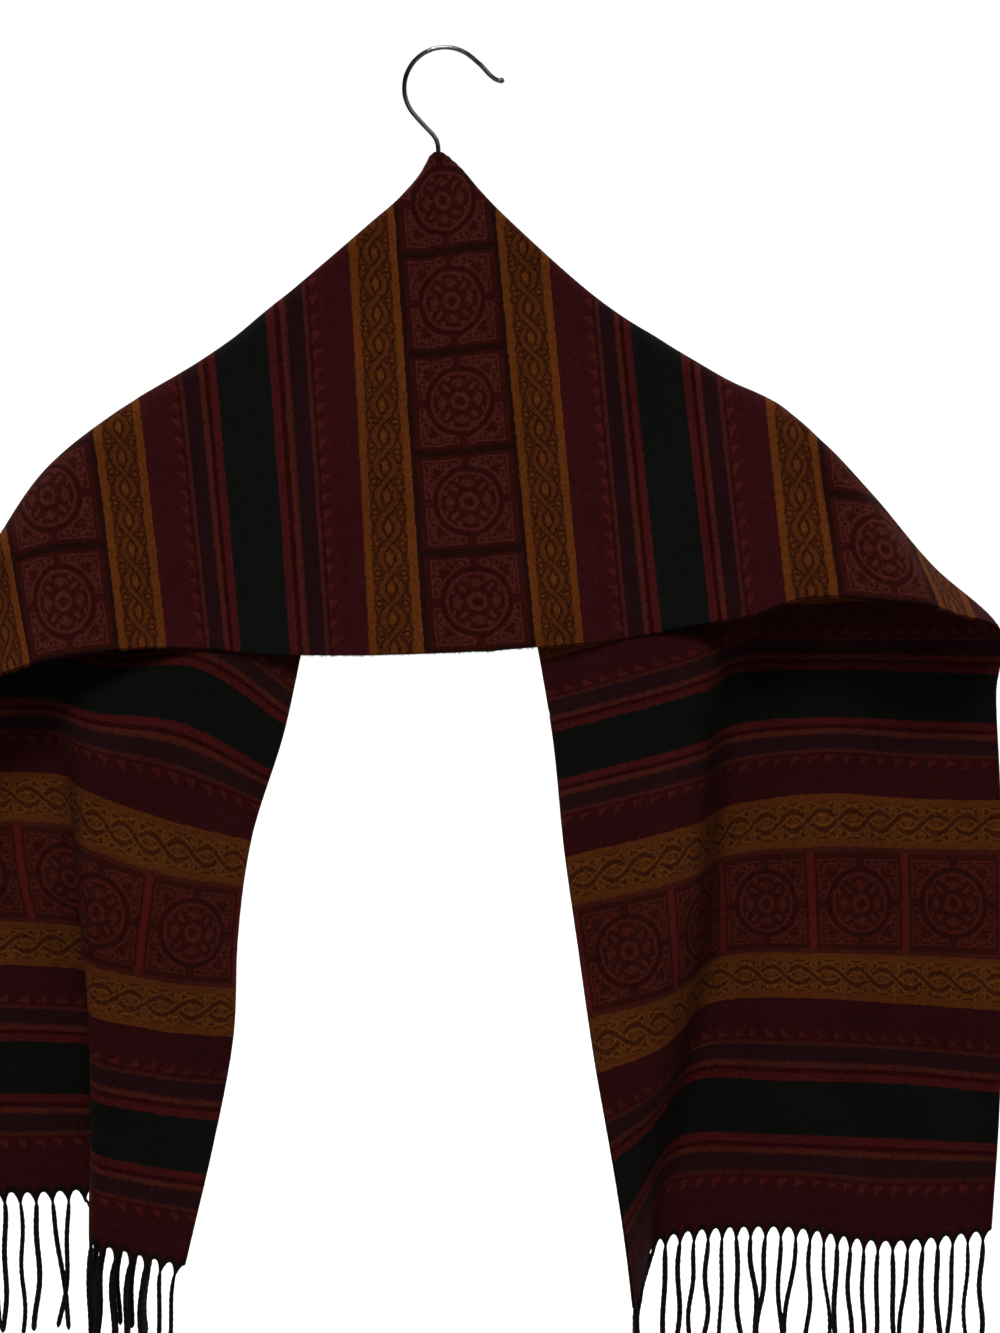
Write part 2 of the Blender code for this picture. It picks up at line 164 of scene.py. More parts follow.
FOLD_COLUMNS = "v_fold radius hem_x hem_y hem_z".split()
FOLD = {
    "right": [
        (0, 0, 3.2, 24, -11, -391), (5, 0.6, 3.2, 29, -11, -391), (12, 9, 3.3, 36, -11, -390),
        (25, 26, 3.8, 49, -11, -389), (50, 54, 5, 73.5, -12, -387), (93, 97, 7, 115, -13, -383),
        (135, 136, 9, 156, -16, -375), (178, 170, 11, 196, -24, -368),
        (220, 203, 13, 236, -38, -356), (270, 243, 16, 289, -46, -359.5),
        (320, 287, 19, 328, -36, -366.5), (361, 325, 22, 361, 6, -378),
        (410, 371, 24, 361, 20, -426), (750, 691, 24, 353, 30, -768),
    ],
    "left": [
        (0, 0, 3.2, 24, -11, -391), (5, 0.6, 3.2, 18, -11, -391), (12, 8, 3.3, 10, -11, -391.5),
        (25, 22, 3.8, -3, -11, -392), (50, 45, 5, -32.5, -12, -393), (93, 77, 7, -74, -13, -393.5),
        (135, 107, 9, -117, -16, -392.5), (178, 138, 11, -156, -22, -389),
        (220, 168, 13, -195, -30, -388.5), (270, 201, 16, -240, -40, -394),
        (320, 237, 19, -276.5, -46, -403), (385, 281, 22, -327, -38, -424),
        (452, 325, 24, -387, 8, -452.5), (500, 363, 24, -384, 24, -499),
        (750, 561, 24, -366, 34, -745),
    ],
}
OUTER = {
    "right": [
        (0, -4.4, 0, -67.5), (5, -0.4, 2.8, -68.5), (12, 7.5, 3.3, -75.5), (25, 21.5, 3.8, -92),
        (50, 48.5, 5, -118.5), (93, 95, 7, -160), (135, 135, 9, -187), (178, 180, 11, -213.5),
        (220, 224, 13, -237), (270, 275.5, 18, -288.5), (320, 318, 23, -336.5),
        (361, 361, 28, -377.5), (400, 361, 30, -417), (473, 364, 30, -488), (540, 365, 30, -557),
        (607, 365, 30, -627), (675, 363, 30, -697), (750, 358, 30, -773),
    ],
    "left": [
        (0, -4.4, 0, -67.5), (5, -8.4, 2.8, -68.5), (12, -14, 3.3, -79), (25, -25.5, 3.8, -93.5),
        (50, -47, 5, -112.5), (93, -90, 7, -149.5), (135, -133.5, 9, -185.5), (178, -175, 11, -213.5),
        (220, -213.5, 13, -236.5), (270, -260, 18, -274), (320, -296, 23, -325),
        (385, -342, 28, -387.5), (452, -387, 32, -452), (500, -384, 34, -499),
        (560, -379, 34, -560), (607, -375, 33, -606), (675, -371, 32, -674.5), (750, -366, 30, -745),
    ],
}
INNER = {
    "right": [
        (0, -4.4, 0, -67.5), (5, -0.6, 2.8, -68.5), (12, 0.6, 3.3, -75), (50, 8, 4, -112),
        (180, 33, 3, -241), (270, 50, 1, -332), (330, 61, -2, -391), (390, 70, -8, -445),
        (473, 78, -22, -523), (540, 87.5, -28, -590), (607, 98, -34, -663), (675, 111, -38, -736),
        (750, 121.5, -40, -815),
    ],
    "left": [
        (0, -4.4, 0, -67.5), (5, -8.2, 2.8, -68.5), (12, -9.6, 3.3, -75), (50, -19, 4, -111),
        (180, -54, 3, -236), (270, -79, 1, -325), (330, -92, -2, -384), (390, -104, -4, -441),
        (473, -126, -8, -514), (540, -134.5, -10, -577), (607, -137.5, -10, -642),
        (675, -151, -10, -713), (750, -169, -10, -791),
    ],
}
# Each line runs down a tail along a fold, from its first place to the hem.
TAIL_LINES = {
    "right": {
        "before the crease": [
            (405, 166, -12, -433), (473, 158, -12, -503), (540, 149, -12, -577),
            (607, 139, -12, -648), (675, 127, -14, -720), (750, 126, -24, -804),
        ],
        "after the crease": [
            (405, 194, 32, -421), (473, 190, 38, -491), (540, 186, 40, -559),
            (607, 174, 42, -623), (675, 159, 42, -691), (750, 138, 36, -781),
        ],
        "first wave": [
            (405, 254, 19, -418), (473, 250, 20, -483), (540, 246, 20, -556),
            (607, 236, 20, -618), (675, 220, 18, -689), (750, 217, 15, -769),
        ],
        "second wave": [
            (405, 310, 32, -420), (473, 306, 34, -487), (540, 304, 34, -556),
            (607, 300, 36, -623), (675, 290, 36, -692), (750, 289, 36, -781),
        ],
    },
    "left": {
        "front of the bow": [
            (430, -172, -26, -448), (473, -178, -28, -500), (540, -182, -30, -570),
            (607, -186, -28, -636), (675, -192, -26, -706), (750, -200, -24, -782),
        ],
        "pleat edge, front": [
            (430, -236, -14, -437), (473, -237, -20, -478), (540, -233, -27, -555),
            (607, -227, -30, -625.5), (675, -226, -31, -697), (750, -227, -31, -772),
        ],
        "pleat edge, back": [
            (430, -243, -6, -434), (473, -241, -10, -475), (540, -236, -16, -551),
            (607, -229, -18, -621), (675, -228, -18, -692), (750, -229, -18, -768),
        ],
        "hidden turn, front": [
            (430, -248, 0, -432.5), (473, -243, -2, -473.5), (540, -231, -6, -548),
            (607, -212, -9, -611), (675, -200, -9, -680), (750, -189, -8, -757),
        ],
        "hidden turn, back": [
            (430, -254, 8, -431), (473, -250, 8, -471.5), (540, -234, 7, -543),
            (607, -212, 6, -606), (675, -200, 7, -673), (750, -189, 8, -750),
        ],
        "dark turn": [
            (430, -282, 16, -430), (473, -279, 14, -470), (540, -278, 14, -537),
            (607, -278, 16, -597), (675, -278, 18, -663), (750, -280, 20, -747),
        ],
        "hollow": [
            (430, -326, 44, -436), (473, -322, 52, -472), (540, -318, 54, -538),
            (607, -317, 52, -600), (675, -316, 50, -667), (750, -316, 46, -748),
        ],
    },
}


# %% Reading a table by a smooth curve
def read_table(rows, at):
    """Read a table at one or many places; its first column is the place."""
    table = np.asarray(rows, float)
    places = table[:, 0]
    slopes = np.gradient(table[:, 1:], places, axis=0)
    at = np.asarray(at, float)
    k = np.clip(np.searchsorted(places, at) - 1, 0, len(places) - 2)
    step = (places[k + 1] - places[k])[..., None]
    w = np.clip((at - places[k])[..., None] / step, 0.0, 1.0)
    return (
        table[k, 1:] * (2 * w**3 - 3 * w**2 + 1)
        + table[k + 1, 1:] * (3 * w**2 - 2 * w**3)
        + slopes[k] * step * (w**3 - 2 * w**2 + w)
        + slopes[k + 1] * step * (w**3 - w**2)
    )


def curve_through(points, samples=24):
    """A dense smooth curve through points, and the share of its length at each sample."""
    points = np.asarray(points, float)
    chords = np.linalg.norm(np.diff(points, axis=0), axis=1)
    knots = np.concatenate([[0.0], np.cumsum(np.maximum(chords, 0.01))])
    places = np.concatenate(
        [np.linspace(a, b, samples, endpoint=False) for a, b in zip(knots, knots[1:])] + [[knots[-1]]]
    )
    dense = read_table(np.column_stack([knots, points]), places)
    lengths = np.linalg.norm(np.diff(dense, axis=0), axis=1)
    share = np.concatenate([[0.0], np.cumsum(lengths)])
    return dense, share / share[-1]


print("Right fold at 220 mm:", read_table(FOLD["right"], 220).round(1))

# %% [markdown]
# ### One section of the cloth
#
# A section is the line across the cloth at one distance along it. Where it passes over the
# hanger, it turns round a roll of the fold's radius. In front of the roll it hangs straight to
# the hem and swells a little forwards, and behind it follows the tail's own lines. Working
# section by section keeps the cloth's width true, so the woven pattern stays in scale.


# %% Folded sections
def fold_at(side, along):
    """The folded middle's measures at one section, with the slope of the fold in the cloth."""
    fold = dict(zip(FOLD_COLUMNS, read_table(FOLD[side], along)))
    step = 4.0
    before, after = max(along - step, 0.0), min(along + step, CLOTH_HALF)
    rise = read_table(FOLD[side], along + step)[0] - read_table(FOLD[side], before)[0]
    fold["cosine"] = math.cos(math.atan2(rise, after - before))
    fold["crest"] = read_table(OUTER[side], along)
    return fold


def rolled(distance, radius):
    """How far below the crest the cloth has come at a distance along it from the crest."""
    quarter = 0.5 * math.pi * radius
    turned = radius * (1.0 - np.cos(np.minimum(distance, quarter) / radius))
    return np.where(distance < quarter, turned, distance - quarter + radius)


def line_point(rows, part, along, inner, outer):
    """A fold line's place: from its table low down, and on the straight section high up."""
    first = rows[0][0]
    straight = inner + (outer - inner) * part
    if along <= STRAIGHT_UNTIL:
        return straight
    if along >= first:
        return read_table(rows, along)
    w = (along - STRAIGHT_UNTIL) / (first - STRAIGHT_UNTIL)
    w = w * w * (3.0 - 2.0 * w)
    start = np.array(rows[0][1:])
    slope = (np.array(rows[1][1:]) - start) / (rows[1][0] - first)
    return straight * (1.0 - w) + (start + slope * (along - first)) * w


def tail_points(side, along, across, fold):
    """Points behind the fold, at several places across one section."""
    inner, outer = read_table(INNER[side], along), fold["crest"]
    lines = TAIL_LINES[side].values()
    points = [inner]
    for number, rows in enumerate(lines, start=1):
        points.append(line_point(rows, number / (len(lines) + 1), along, inner, outer))
    curve, length_share = curve_through(points + [outer])
    radius, v_fold = fold["radius"], fold["v_fold"]
    past = (v_fold - across) * fold["cosine"]
    edge = rolled((v_fold - min(CLOTH_WIDTH, v_fold)) * fold["cosine"], radius)
    neck = rolled(v_fold * fold["cosine"], radius)
    share = 1.0 - (rolled(past, radius) - edge) / max(neck - edge, 0.01)
    found = np.column_stack([np.interp(share, length_share, curve[:, i]) for i in range(3)])
    found[:, 1] -= radius * (1.0 - np.sin(np.minimum(past / radius, 0.5 * math.pi)))
    return found


def panel_points(across, fold):
    """Points of the front panel, at several places across one section."""
    radius = fold["radius"]
    past = (across - fold["v_fold"]) * fold["cosine"]
    hem = max((CLOTH_WIDTH - fold["v_fold"]) * fold["cosine"], 0.01)
    share = rolled(past, radius) / rolled(hem, radius)
    crest_x, back_y, crest_z = fold["crest"]

    def hanging_y(distance):
        centre_y = (back_y - radius) * np.exp(-distance / CENTRED_BELOW)
        return centre_y - radius * np.sin(np.minimum(distance / radius, 0.5 * math.pi))

    swell = (fold["hem_y"] - hanging_y(hem)) * (past / hem) ** HEM_SWELL_POWER
    x = crest_x + (fold["hem_x"] - crest_x) * share
    z = crest_z + (fold["hem_z"] - crest_z) * share
    return np.column_stack([x, hanging_y(past) + swell, z])


def section_points(along, across):
    """The cloth's middle surface at one signed distance along it; negative is the left side."""
    side = "right" if along >= 0 else "left"
    fold = fold_at(side, abs(along))
    found = np.empty((len(across), 3))
    behind = across < fold["v_fold"] if fold["v_fold"] < CLOTH_WIDTH else np.full(len(across), True)
    if behind.any():
        found[behind] = tail_points(side, abs(along), across[behind], fold)
    if not behind.all():
        found[~behind] = panel_points(across[~behind], fold)
    return found


# %% [markdown]
# ### A grid that is finest at the fold
#
# The roll at the hanger is only a few millimetres thick near the neck, so an even grid would
# leave it faceted. The columns of the grid are spaced by a density instead: even over the open
# cloth and about three times closer at the fold. Every row has the same number of columns, so the
# faces are all four-sided.

# %% Rows and columns of the cloth grid
ROW_STEP = 3.5
COLUMNS = 193
CLOSER_AT_FOLD = 2.2
SPLIT = {"left": -465.0, "right": 375.0}


def columns_at(along):
    """Places across the cloth for one row of the grid, closest together at the fold."""
    fold = fold_at("right" if along >= 0 else "left", abs(along))
    reach = 0.5 * math.pi * fold["radius"] / fold["cosine"] + 4.0
    fine = np.linspace(0.0, CLOTH_WIDTH, 1301)
    fade = np.clip((CLOTH_WIDTH + 2.0 * reach - fold["v_fold"]) / (2.0 * reach), 0.0, 1.0)
    density = 1.0 + CLOSER_AT_FOLD * fade * np.exp(-(((fine - fold["v_fold"]) / reach) ** 2))
    total = np.concatenate([[0.0], np.cumsum(0.5 * (density[1:] + density[:-1]))])
    return np.interp(np.linspace(0.0, total[-1], COLUMNS), total, fine)


def rows_between(start, end):
    return list(np.linspace(start, end, max(2, round((end - start) / ROW_STEP) + 1)))


rows_left = rows_between(-CLOTH_HALF, SPLIT["left"])
rows_middle = rows_between(SPLIT["left"], SPLIT["right"])
rows_right = rows_between(SPLIT["right"], CLOTH_HALF)
row_places = np.array(rows_left[:-1] + rows_middle + rows_right[1:])
column_places = np.array([columns_at(along) for along in row_places])
surface = np.array([section_points(u, v) for u, v in zip(row_places, column_places)])
along_grid = np.repeat(row_places[:, None], COLUMNS, axis=1)
print(f"Cloth grid: {surface.shape[0]} rows x {surface.shape[1]} columns")


# %% Directions on the grid
def unit(vectors):
    return vectors / np.maximum(np.linalg.norm(vectors, axis=-1, keepdims=True), 1e-9)


def face_normals(points):
    """The direction that the scarf's face looks in, at every point of the grid."""
    return unit(np.cross(np.gradient(points, axis=1), np.gradient(points, axis=0)))


# %% [markdown]
# ### Soft creases
#
# Real wool keeps a few long, shallow creases: drag lines from the ends of the hanger, and soft
# hanging folds down the tails. Noise would spread them evenly, which looks false. Each one is
# charted as a stroke on the flat cloth, with its own depth and width, and the strokes are
# uneven on purpose. Near the wires the cloth may only move away from the hanger.

# %% Creases as strokes on the flat cloth
# along and across at both ends, height (negative is a trough) and half width, in millimetres
CREASES = [
    (-34, 70, -118, 306, 1.3, 22), (22, 96, 66, 300, -1.2, 19), (96, 170, 132, 318, 1.1, 16),
    (150, 190, 168, 322, -1.5, 15), (-150, 150, -190, 318, -1.4, 18), (-62, 190, -80, 322, -0.9, 12),
    (228, 226, 244, 322, -3.4, 13), (246, 238, 296, 322, 2.8, 15), (212, 214, 206, 320, 2.2, 14),
    (268, 262, 330, 322, -2.2, 11), (-216, 182, -228, 320, -3.2, 14), (-236, 196, -292, 322, 2.8, 17),
    (-204, 176, -196, 318, 1.8, 13), (-262, 214, -352, 320, -2.6, 15), (-318, 262, -410, 322, 1.8, 13),
    (60, 40, 210, 96, 1.6, 15), (130, 40, 330, 22, 1.9, 17), (170, 128, 330, 92, 2.2, 14),
    (238, 176, 470, 128, 2.4, 16), (300, 206, 430, 192, -1.8, 12), (-70, 30, -240, 52, 1.7, 16),
    (-150, 88, -330, 66, 2.1, 15), (-222, 138, -420, 96, 2.4, 17), (-270, 176, -400, 160, -1.6, 13),
    (380, 52, 690, 20, -2.0, 17), (420, 86, 742, 66, 1.7, 14), (470, 232, 742, 206, -1.9, 15),
    (452, 286, 700, 268, 1.8, 14), (560, 150, 745, 140, 1.2, 12), (-400, 40, -660, 22, -2.0, 18),
    (-470, 74, -745, 60, 1.6, 15), (-480, 286, -740, 270, 1.7, 14), (-540, 250, -735, 232, -1.5, 13),
    (640, 292, 745, 300, -1.5, 12), (-650, 112, -748, 104, 1.2, 10), (690, 30, 749, 24, 1.6, 11),
    (-400, 196, -790, 254, -8.0, 10), (430, 96, 790, 60, -2.5, 16),
]
HANGER_REACH = (245.0, 300.0)
PAST_FOLD = 12.0
FINE_RIPPLE = 0.35


def crease_height(along, across):
    """Height of all creases over the smooth drape."""
    height = np.zeros_like(along)
    for u0, v0, u1, v1, rise, half in CREASES:
        run = np.array([u1 - u0, v1 - v0], float)
        length = np.hypot(*run)
        t = ((along - u0) * run[0] + (across - v0) * run[1]) / length**2
        offset = ((along - u0) * run[1] - (across - v0) * run[0]) / length
        ends = np.sin(math.pi * np.clip(0.5 * t + 0.25, 0.0, 1.0)) ** 2 * ((t > -0.5) & (t < 1.5))
        height += rise * np.exp(-((offset / (half * (0.75 + 0.5 * np.clip(t, 0, 1)))) ** 2)) * ends
    height += FINE_RIPPLE * np.sin(along / 17.0 + 1.3 * np.sin(across / 29.0)) * np.sin(across / 23.0 + 0.8)
    return height


heights = crease_height(along_grid, column_places)
over_hanger = np.interp(abs(along_grid), HANGER_REACH, (1.0, 0.0))
behind_fold = np.array([
    across < fold_at("right" if along >= 0 else "left", abs(along))["v_fold"] + PAST_FOLD
    for along, across in zip(row_places, column_places)
])
heights = np.where(behind_fold, np.maximum(heights, heights * (1.0 - over_hanger)), heights)
surface = surface + face_normals(surface) * heights[..., None]
print(f"Creases between {heights.min():.1f} and {heights.max():.1f} mm")

# %% [markdown]
# ### The hems gather where the fringe is tied
#
# At both ends the warp is twisted into yarns, one every 10 mm. Each yarn pulls the cloth's end
# into a small peak, with a shallow scallop between two yarns. The last centimetre of the grid is
# stretched or drawn in along the cloth to give that edge.

# %% Scalloped ends
FRINGE_STRANDS = 32
STRAND_PITCH = CLOTH_WIDTH / FRINGE_STRANDS
GATHER_DEPTH = 14.0
PEAK_DOWN, SCALLOP_UP = 7.0, 2.5


def hem_shift(across):
    """How far the hem reaches below its mean line; it peaks at every yarn."""
    from_yarn = abs((across / STRAND_PITCH) % 1.0 - 0.5) * 2.0
    return PEAK_DOWN * (1.0 - from_yarn) ** 2.2 - SCALLOP_UP * (1.0 - (1.0 - from_yarn) ** 2)


for end_row, inward in ((0, 1), (-1, -1)):
    down = unit(surface[end_row] - surface[end_row + 3 * inward])
    for step in range(int(GATHER_DEPTH / ROW_STEP)):
        row = end_row + step * inward
        share = 1.0 - abs(along_grid[end_row, 0] - along_grid[row, 0]) / GATHER_DEPTH
        surface[row] += down * (hem_shift(column_places[row]) * share**1.5)[:, None]
normals = face_normals(surface)

# %% [markdown]
# ## Woven pattern
#
# The stripes run across the width and repeat every 270 mm along the scarf. Each repeat mirrors
# about a column of roundels in squares and about a green band. The chart is drawn with
# arithmetic in shader nodes, so it stays sharp at any distance and needs no picture. A small
# class turns Python arithmetic into Math nodes, which keeps the chart readable.


# %% Arithmetic that builds Math nodes
class Signal:
    """A number on its way through a node tree; arithmetic on it adds Math nodes."""

    def __init__(self, tree, socket):
        self.tree, self.socket = tree, socket

    def math(self, operation, *others, clamp=False):
        node = self.tree.nodes.new("ShaderNodeMath")
        node.operation, node.use_clamp = operation, clamp
        for plug, value in zip(node.inputs, (self, *others)):
            plug_in(self.tree, plug, value)
        return Signal(self.tree, node.outputs[0])

    def __add__(self, other):
        return self.math("ADD", other)

    def __sub__(self, other):
        return self.math("SUBTRACT", other)

    def __mul__(self, other):
        return self.math("MULTIPLY", other)

    def __abs__(self):
        return self.math("ABSOLUTE")

    def least(self, other):
        return self.math("MINIMUM", other)

    def most(self, other):
        return self.math("MAXIMUM", other)

    def scaled(self, factor, shift=0.0, clamp=False):
        return self.math("MULTIPLY_ADD", factor, shift, clamp=clamp)

    def line(self, centre, half, soft=0.5):
        """1 within half a width of a centre, and 0 further away."""
        return abs(self - centre).scaled(-1.0 / soft, half / soft + 0.5, clamp=True)

    def above(self, edge, soft=0.5):
        return self.scaled(1.0 / soft, 0.5 - edge / soft, clamp=True)

    def below(self, edge, soft=0.5):
        return self.scaled(-1.0 / soft, 0.5 + edge / soft, clamp=True)

    def inverse(self):
        return self.scaled(-1.0, 1.0)


def distance(across, along):
    return (across * across + along * along).math("SQRT")


def plug_in(tree, plug, value):
    """Set a socket to a constant, or wire it to what gives its value."""
    value = value.socket if isinstance(value, Signal) else value
    if isinstance(value, bpy.types.NodeSocket):
        tree.links.new(value, plug)
    else:
        plug.default_value = value


def times(tree, vector, factor):
    """A vector or a colour times a number."""
    node = tree.nodes.new("ShaderNodeVectorMath")
    node.operation = "SCALE"
    plug_in(tree, node.inputs[0], vector)
    plug_in(tree, node.inputs["Scale"], factor)
    return node.outputs[0]


def mix_colours(tree, factor, first, second):
    """The second colour over the first, by a factor from 0 to 1."""
    node = tree.nodes.new("ShaderNodeMix")
    node.data_type = "RGBA"
    for label, value in (("Factor", factor), ("A", first), ("B", second)):
        plug_in(tree, node.inputs[label], value)
    return node.outputs["Result"]


# %% Making node groups
def new_group(name, inputs, outputs):
    """A node group with named inputs and outputs, and its two end nodes."""
    group = bpy.data.node_groups.new(name, "ShaderNodeTree")
    for label, kind, value in inputs:
        group.interface.new_socket(label, in_out="INPUT", socket_type=kind).default_value = value
    for label, kind in outputs:
        group.interface.new_socket(label, in_out="OUTPUT", socket_type=kind)
    return group, group.nodes.new("NodeGroupInput"), group.nodes.new("NodeGroupOutput")


def arrange(tree):
    """Place nodes in columns from left to right, by how far each is from the start."""
    depth = {}
    for node in tree.nodes:
        depth[node] = 0
    for _ in range(60):
        changed = False
        for link in tree.links:
            if depth[link.to_node] < depth[link.from_node] + 1:
                depth[link.to_node] = depth[link.from_node] + 1
                changed = True
        if not changed:
            break
    filled = {}
    for node in tree.nodes:
        row = filled.get(depth[node], 0)
        node.location = (190.0 * depth[node], -170.0 * row)
        filled[depth[node]] = row + 1


def add_group(tree, group, **values):
    """Place a node group in a tree, set its inputs and wire what is already a socket."""
    node = tree.nodes.new("ShaderNodeGroup")
    node.node_tree = group
    for label, value in values.items():
        plug_in(tree, node.inputs[label.replace("_", " ")], value)
    return node


# %% [markdown]
# ### Wool nap and threads
#
# Brushed wool has three scales of unevenness: cloudy patches where it was brushed, tufts of a
# few millimetres, and single threads. One group makes all three from the place on the flat cloth,
# so they lie still in the cloth when it is draped. It gives a shade near 1 to multiply a colour
# by, and a height in millimetres for the bump. Every wool material uses it.

# %% Node group: brushed wool
VECTOR, NUMBER, COLOUR = "NodeSocketVector", "NodeSocketFloat", "NodeSocketColor"

wool_group, start, end = new_group(
    "Brushed wool",
    [("Place", VECTOR, (0, 0, 0)), ("Thread pitch", NUMBER, 0.85), ("Unevenness", NUMBER, 1.0)],
    [("Shade", NUMBER), ("Height", NUMBER), ("Roughness", NUMBER)],
)


def noise(tree, place, scale, detail=2.0, stretch=None):
    """A noise signal about 0, from -0.5 to 0.5, at a number of cells per millimetre."""
    if stretch:
        mapping = tree.nodes.new("ShaderNodeVectorMath")
        mapping.operation = "MULTIPLY"
        mapping.inputs[1].default_value = stretch
        tree.links.new(place, mapping.inputs[0])
        place = mapping.outputs[0]
    node = tree.nodes.new("ShaderNodeTexNoise")
    node.inputs["Scale"].default_value = scale
    node.inputs["Detail"].default_value = detail
    tree.links.new(place, node.inputs["Vector"])
    return Signal(tree, node.outputs["Fac"]) - 0.5


def split_place(tree, socket):
    parts = tree.nodes.new("ShaderNodeSeparateXYZ")
    tree.links.new(socket, parts.inputs[0])
    return [Signal(tree, parts.outputs[i]) for i in range(3)]


tree = wool_group
place = start.outputs["Place"]
along, across, _ = split_place(tree, place)
pitch = Signal(tree, start.outputs["Thread pitch"])
weft, warp = along.math("DIVIDE", pitch), across.math("DIVIDE", pitch)
weft_wave = (weft * math.pi).math("SINE")
warp_wave = (warp * math.pi).math("SINE")
twill = ((weft + warp) * (0.5 * math.pi)).math("SINE")
patches = noise(tree, place, 0.02, 2.0)
tufts = noise(tree, place, 0.35, 3.0)
fibres = noise(tree, place, 1.0, 2.0, (0.9, 2.4, 1.0))
weft_shade = tree.nodes.new("ShaderNodeTexWhiteNoise")
weft_shade.noise_dimensions = "1D"
tree.links.new(weft.math("FLOOR").socket, weft_shade.inputs["W"])
thread = Signal(tree, weft_shade.outputs["Value"]) - 0.5
uneven = patches * 0.5 + tufts * 1.1 + fibres * 0.5 + thread * 0.16
shade = (uneven * Signal(tree, start.outputs["Unevenness"]) + twill * 0.05).scaled(1.0, 1.0)
height = weft_wave * warp_wave * 0.04 + twill * 0.07 + tufts * 0.5 + fibres * 0.22
plug_in(tree, end.inputs["Shade"], shade)
plug_in(tree, end.inputs["Height"], height)
plug_in(tree, end.inputs["Roughness"], (tufts * 0.2).scaled(1.0, 0.88, clamp=True))
arrange(tree)
print("Brushed wool:", len(tree.nodes), "nodes")

# %% [markdown]
# ### The chart: stripes, roundels and links
#
# The roundel is a general motif of its kind: a frame broken at the middle of each side, two
# rings, a small centre ring, arches and leaves between them, and curled leaves in the corners. It is
# the same in all eight directions, so only one eighth is drawn: the smaller and the larger of the
# two distances from the middle stand for all of them. The gold bands carry two strands that
# cross like the links of a chain, and one passes over the other in turn.

# %% Measures of one repeat, in millimetres
HALF_REPEAT = 135.0
ROUNDEL_HALF = 31.5
ROUNDEL_PITCH = 65.0
GOLD = (34.5, 66.5)
GOLD_MIDDLE = 0.5 * (GOLD[0] + GOLD[1])
CHAIN_HALF = 11.2
CHAIN_SWING = 5.8
CHAIN_WAVE = 39.0
TRIANGLE_PITCH = 11.6
TRIANGLES = (86.5, 92.0)
MOTIF_STEP = 1.0

# The plain stripes outside the roundels: colour name, from, to.
STRIPES = [
    ("Border", 31.5, 34.5), ("Plum", 66.5, 92.0), ("Dark line", 92.0, 94.0),
    ("Pink line", 94.0, 96.6), ("Blue plum", 96.6, 107.0), ("Orange red", 107.0, 110.8),
    ("Dark line", 110.8, 113.6), ("Red", 113.6, 118.4), ("Green", 118.4, 136.0),
]
LAST_BAND, LAST_ROWS = 740.0, 745.5

# The roundel's filled leaves: place and half size, straight or from corner to corner.
STRAIGHT_LEAVES = [
    (10.8, 0.0, 1.9, 2.6), (14.4, 6.9, 1.2, 1.7), (24.8, 19.2, 1.1, 2.1), (24.6, 8.6, 1.1, 2.2),
]
CORNER_LEAVES = [(12.6, 0.0, 3.1, 1.5), (33.0, 0.0, 2.5, 1.1)]


# %% Drawing the roundel
def leaf(x, y, place_x, place_y, half_x, half_y):
    """A small filled oval."""
    return distance((x - place_x) * (1.0 / half_x), (y - place_y) * (1.0 / half_y)).below(1.0, 0.3)


def roundel(along, across):
    """Masks of a roundel's light lines, its dark channel and the divider between two squares."""
    near, far = along.least(across), along.most(across)
    radius = distance(along, across)
    diagonal = (near + far) * 0.7071
    sideways = (far - near) * 0.7071
    lines = far.line(27.2, 0.6) * near.above(4.2)
    parts = [leaf(far, near, *row) for row in STRAIGHT_LEAVES]
    parts += [leaf(diagonal, sideways, *row) for row in CORNER_LEAVES]
    parts += [
        near.line(3.6, 0.65) * far.line(25.6, 1.9),
        radius.line(24.0, 0.85) * near.above(3.0),
        radius.line(18.4, 0.95),
        radius.line(4.7, 1.4),
        distance(far - 9.2, near).line(4.6, 0.75) * far.above(10.6),
        distance(diagonal - 29.6, sideways).line(2.9, 0.7) * diagonal.above(28.0),
        distance(far - 23.6, near - 14.2).line(2.1, 0.7),
    ]
    for part in parts:
        lines = lines.most(part)
    return lines, radius.line(21.3, 0.9), across.above(30.2, 0.8)


# %% Drawing the chain of links
def chain(offset, across):
    """Masks of the links' outlines and of their bright middles, in a gold band."""
    turn = across * (2.0 * math.pi / CHAIN_WAVE)
    swing = turn.math("SINE") * CHAIN_SWING
    first, second = abs(offset - swing), abs(offset + swing)
    first_over = turn.math("COSINE").above(0.0, 0.2)
    first_lines = first.line(2.7, 0.9) * (second.below(2.4) * first_over.inverse()).inverse()
    second_lines = second.line(2.7, 0.9) * (first.below(2.4) * first_over).inverse()
    from_lens = (across + 0.25 * CHAIN_WAVE).math("PINGPONG", 0.25 * CHAIN_WAVE)
    from_cross = across.math("PINGPONG", 0.25 * CHAIN_WAVE)
    scallop = (abs(offset) - (turn * 2.0).math("COSINE") * 1.3).line(10.0, 0.8)
    knot = distance(abs(offset) - 7.6, from_cross).line(2.0, 0.7)
    outlines = first_lines.most(second_lines).most(scallop).most(knot) * abs(offset).below(CHAIN_HALF)
    knot_middle = distance(abs(offset) - 7.6, from_cross).below(1.2)
    bright = distance(offset, from_lens * 0.6).below(1.9).most(knot_middle)
    return outlines, bright


# %% Colours of the chart, and how they are laid over each other
PATTERN_COLOURS = [
    "Ground", "Channel", "Outline", "Divider", "Border", "Gold", "Gold edge", "Link", "Plum", "Triangle",
    "Dark line", "Pink line", "Blue plum", "Orange red", "Red", "Green", "Hem",
]


def layer(base, name, mask):
    """Lay one named colour over another where a mask is 1."""
    return mix_colours(tree, mask, base, start.outputs[name])


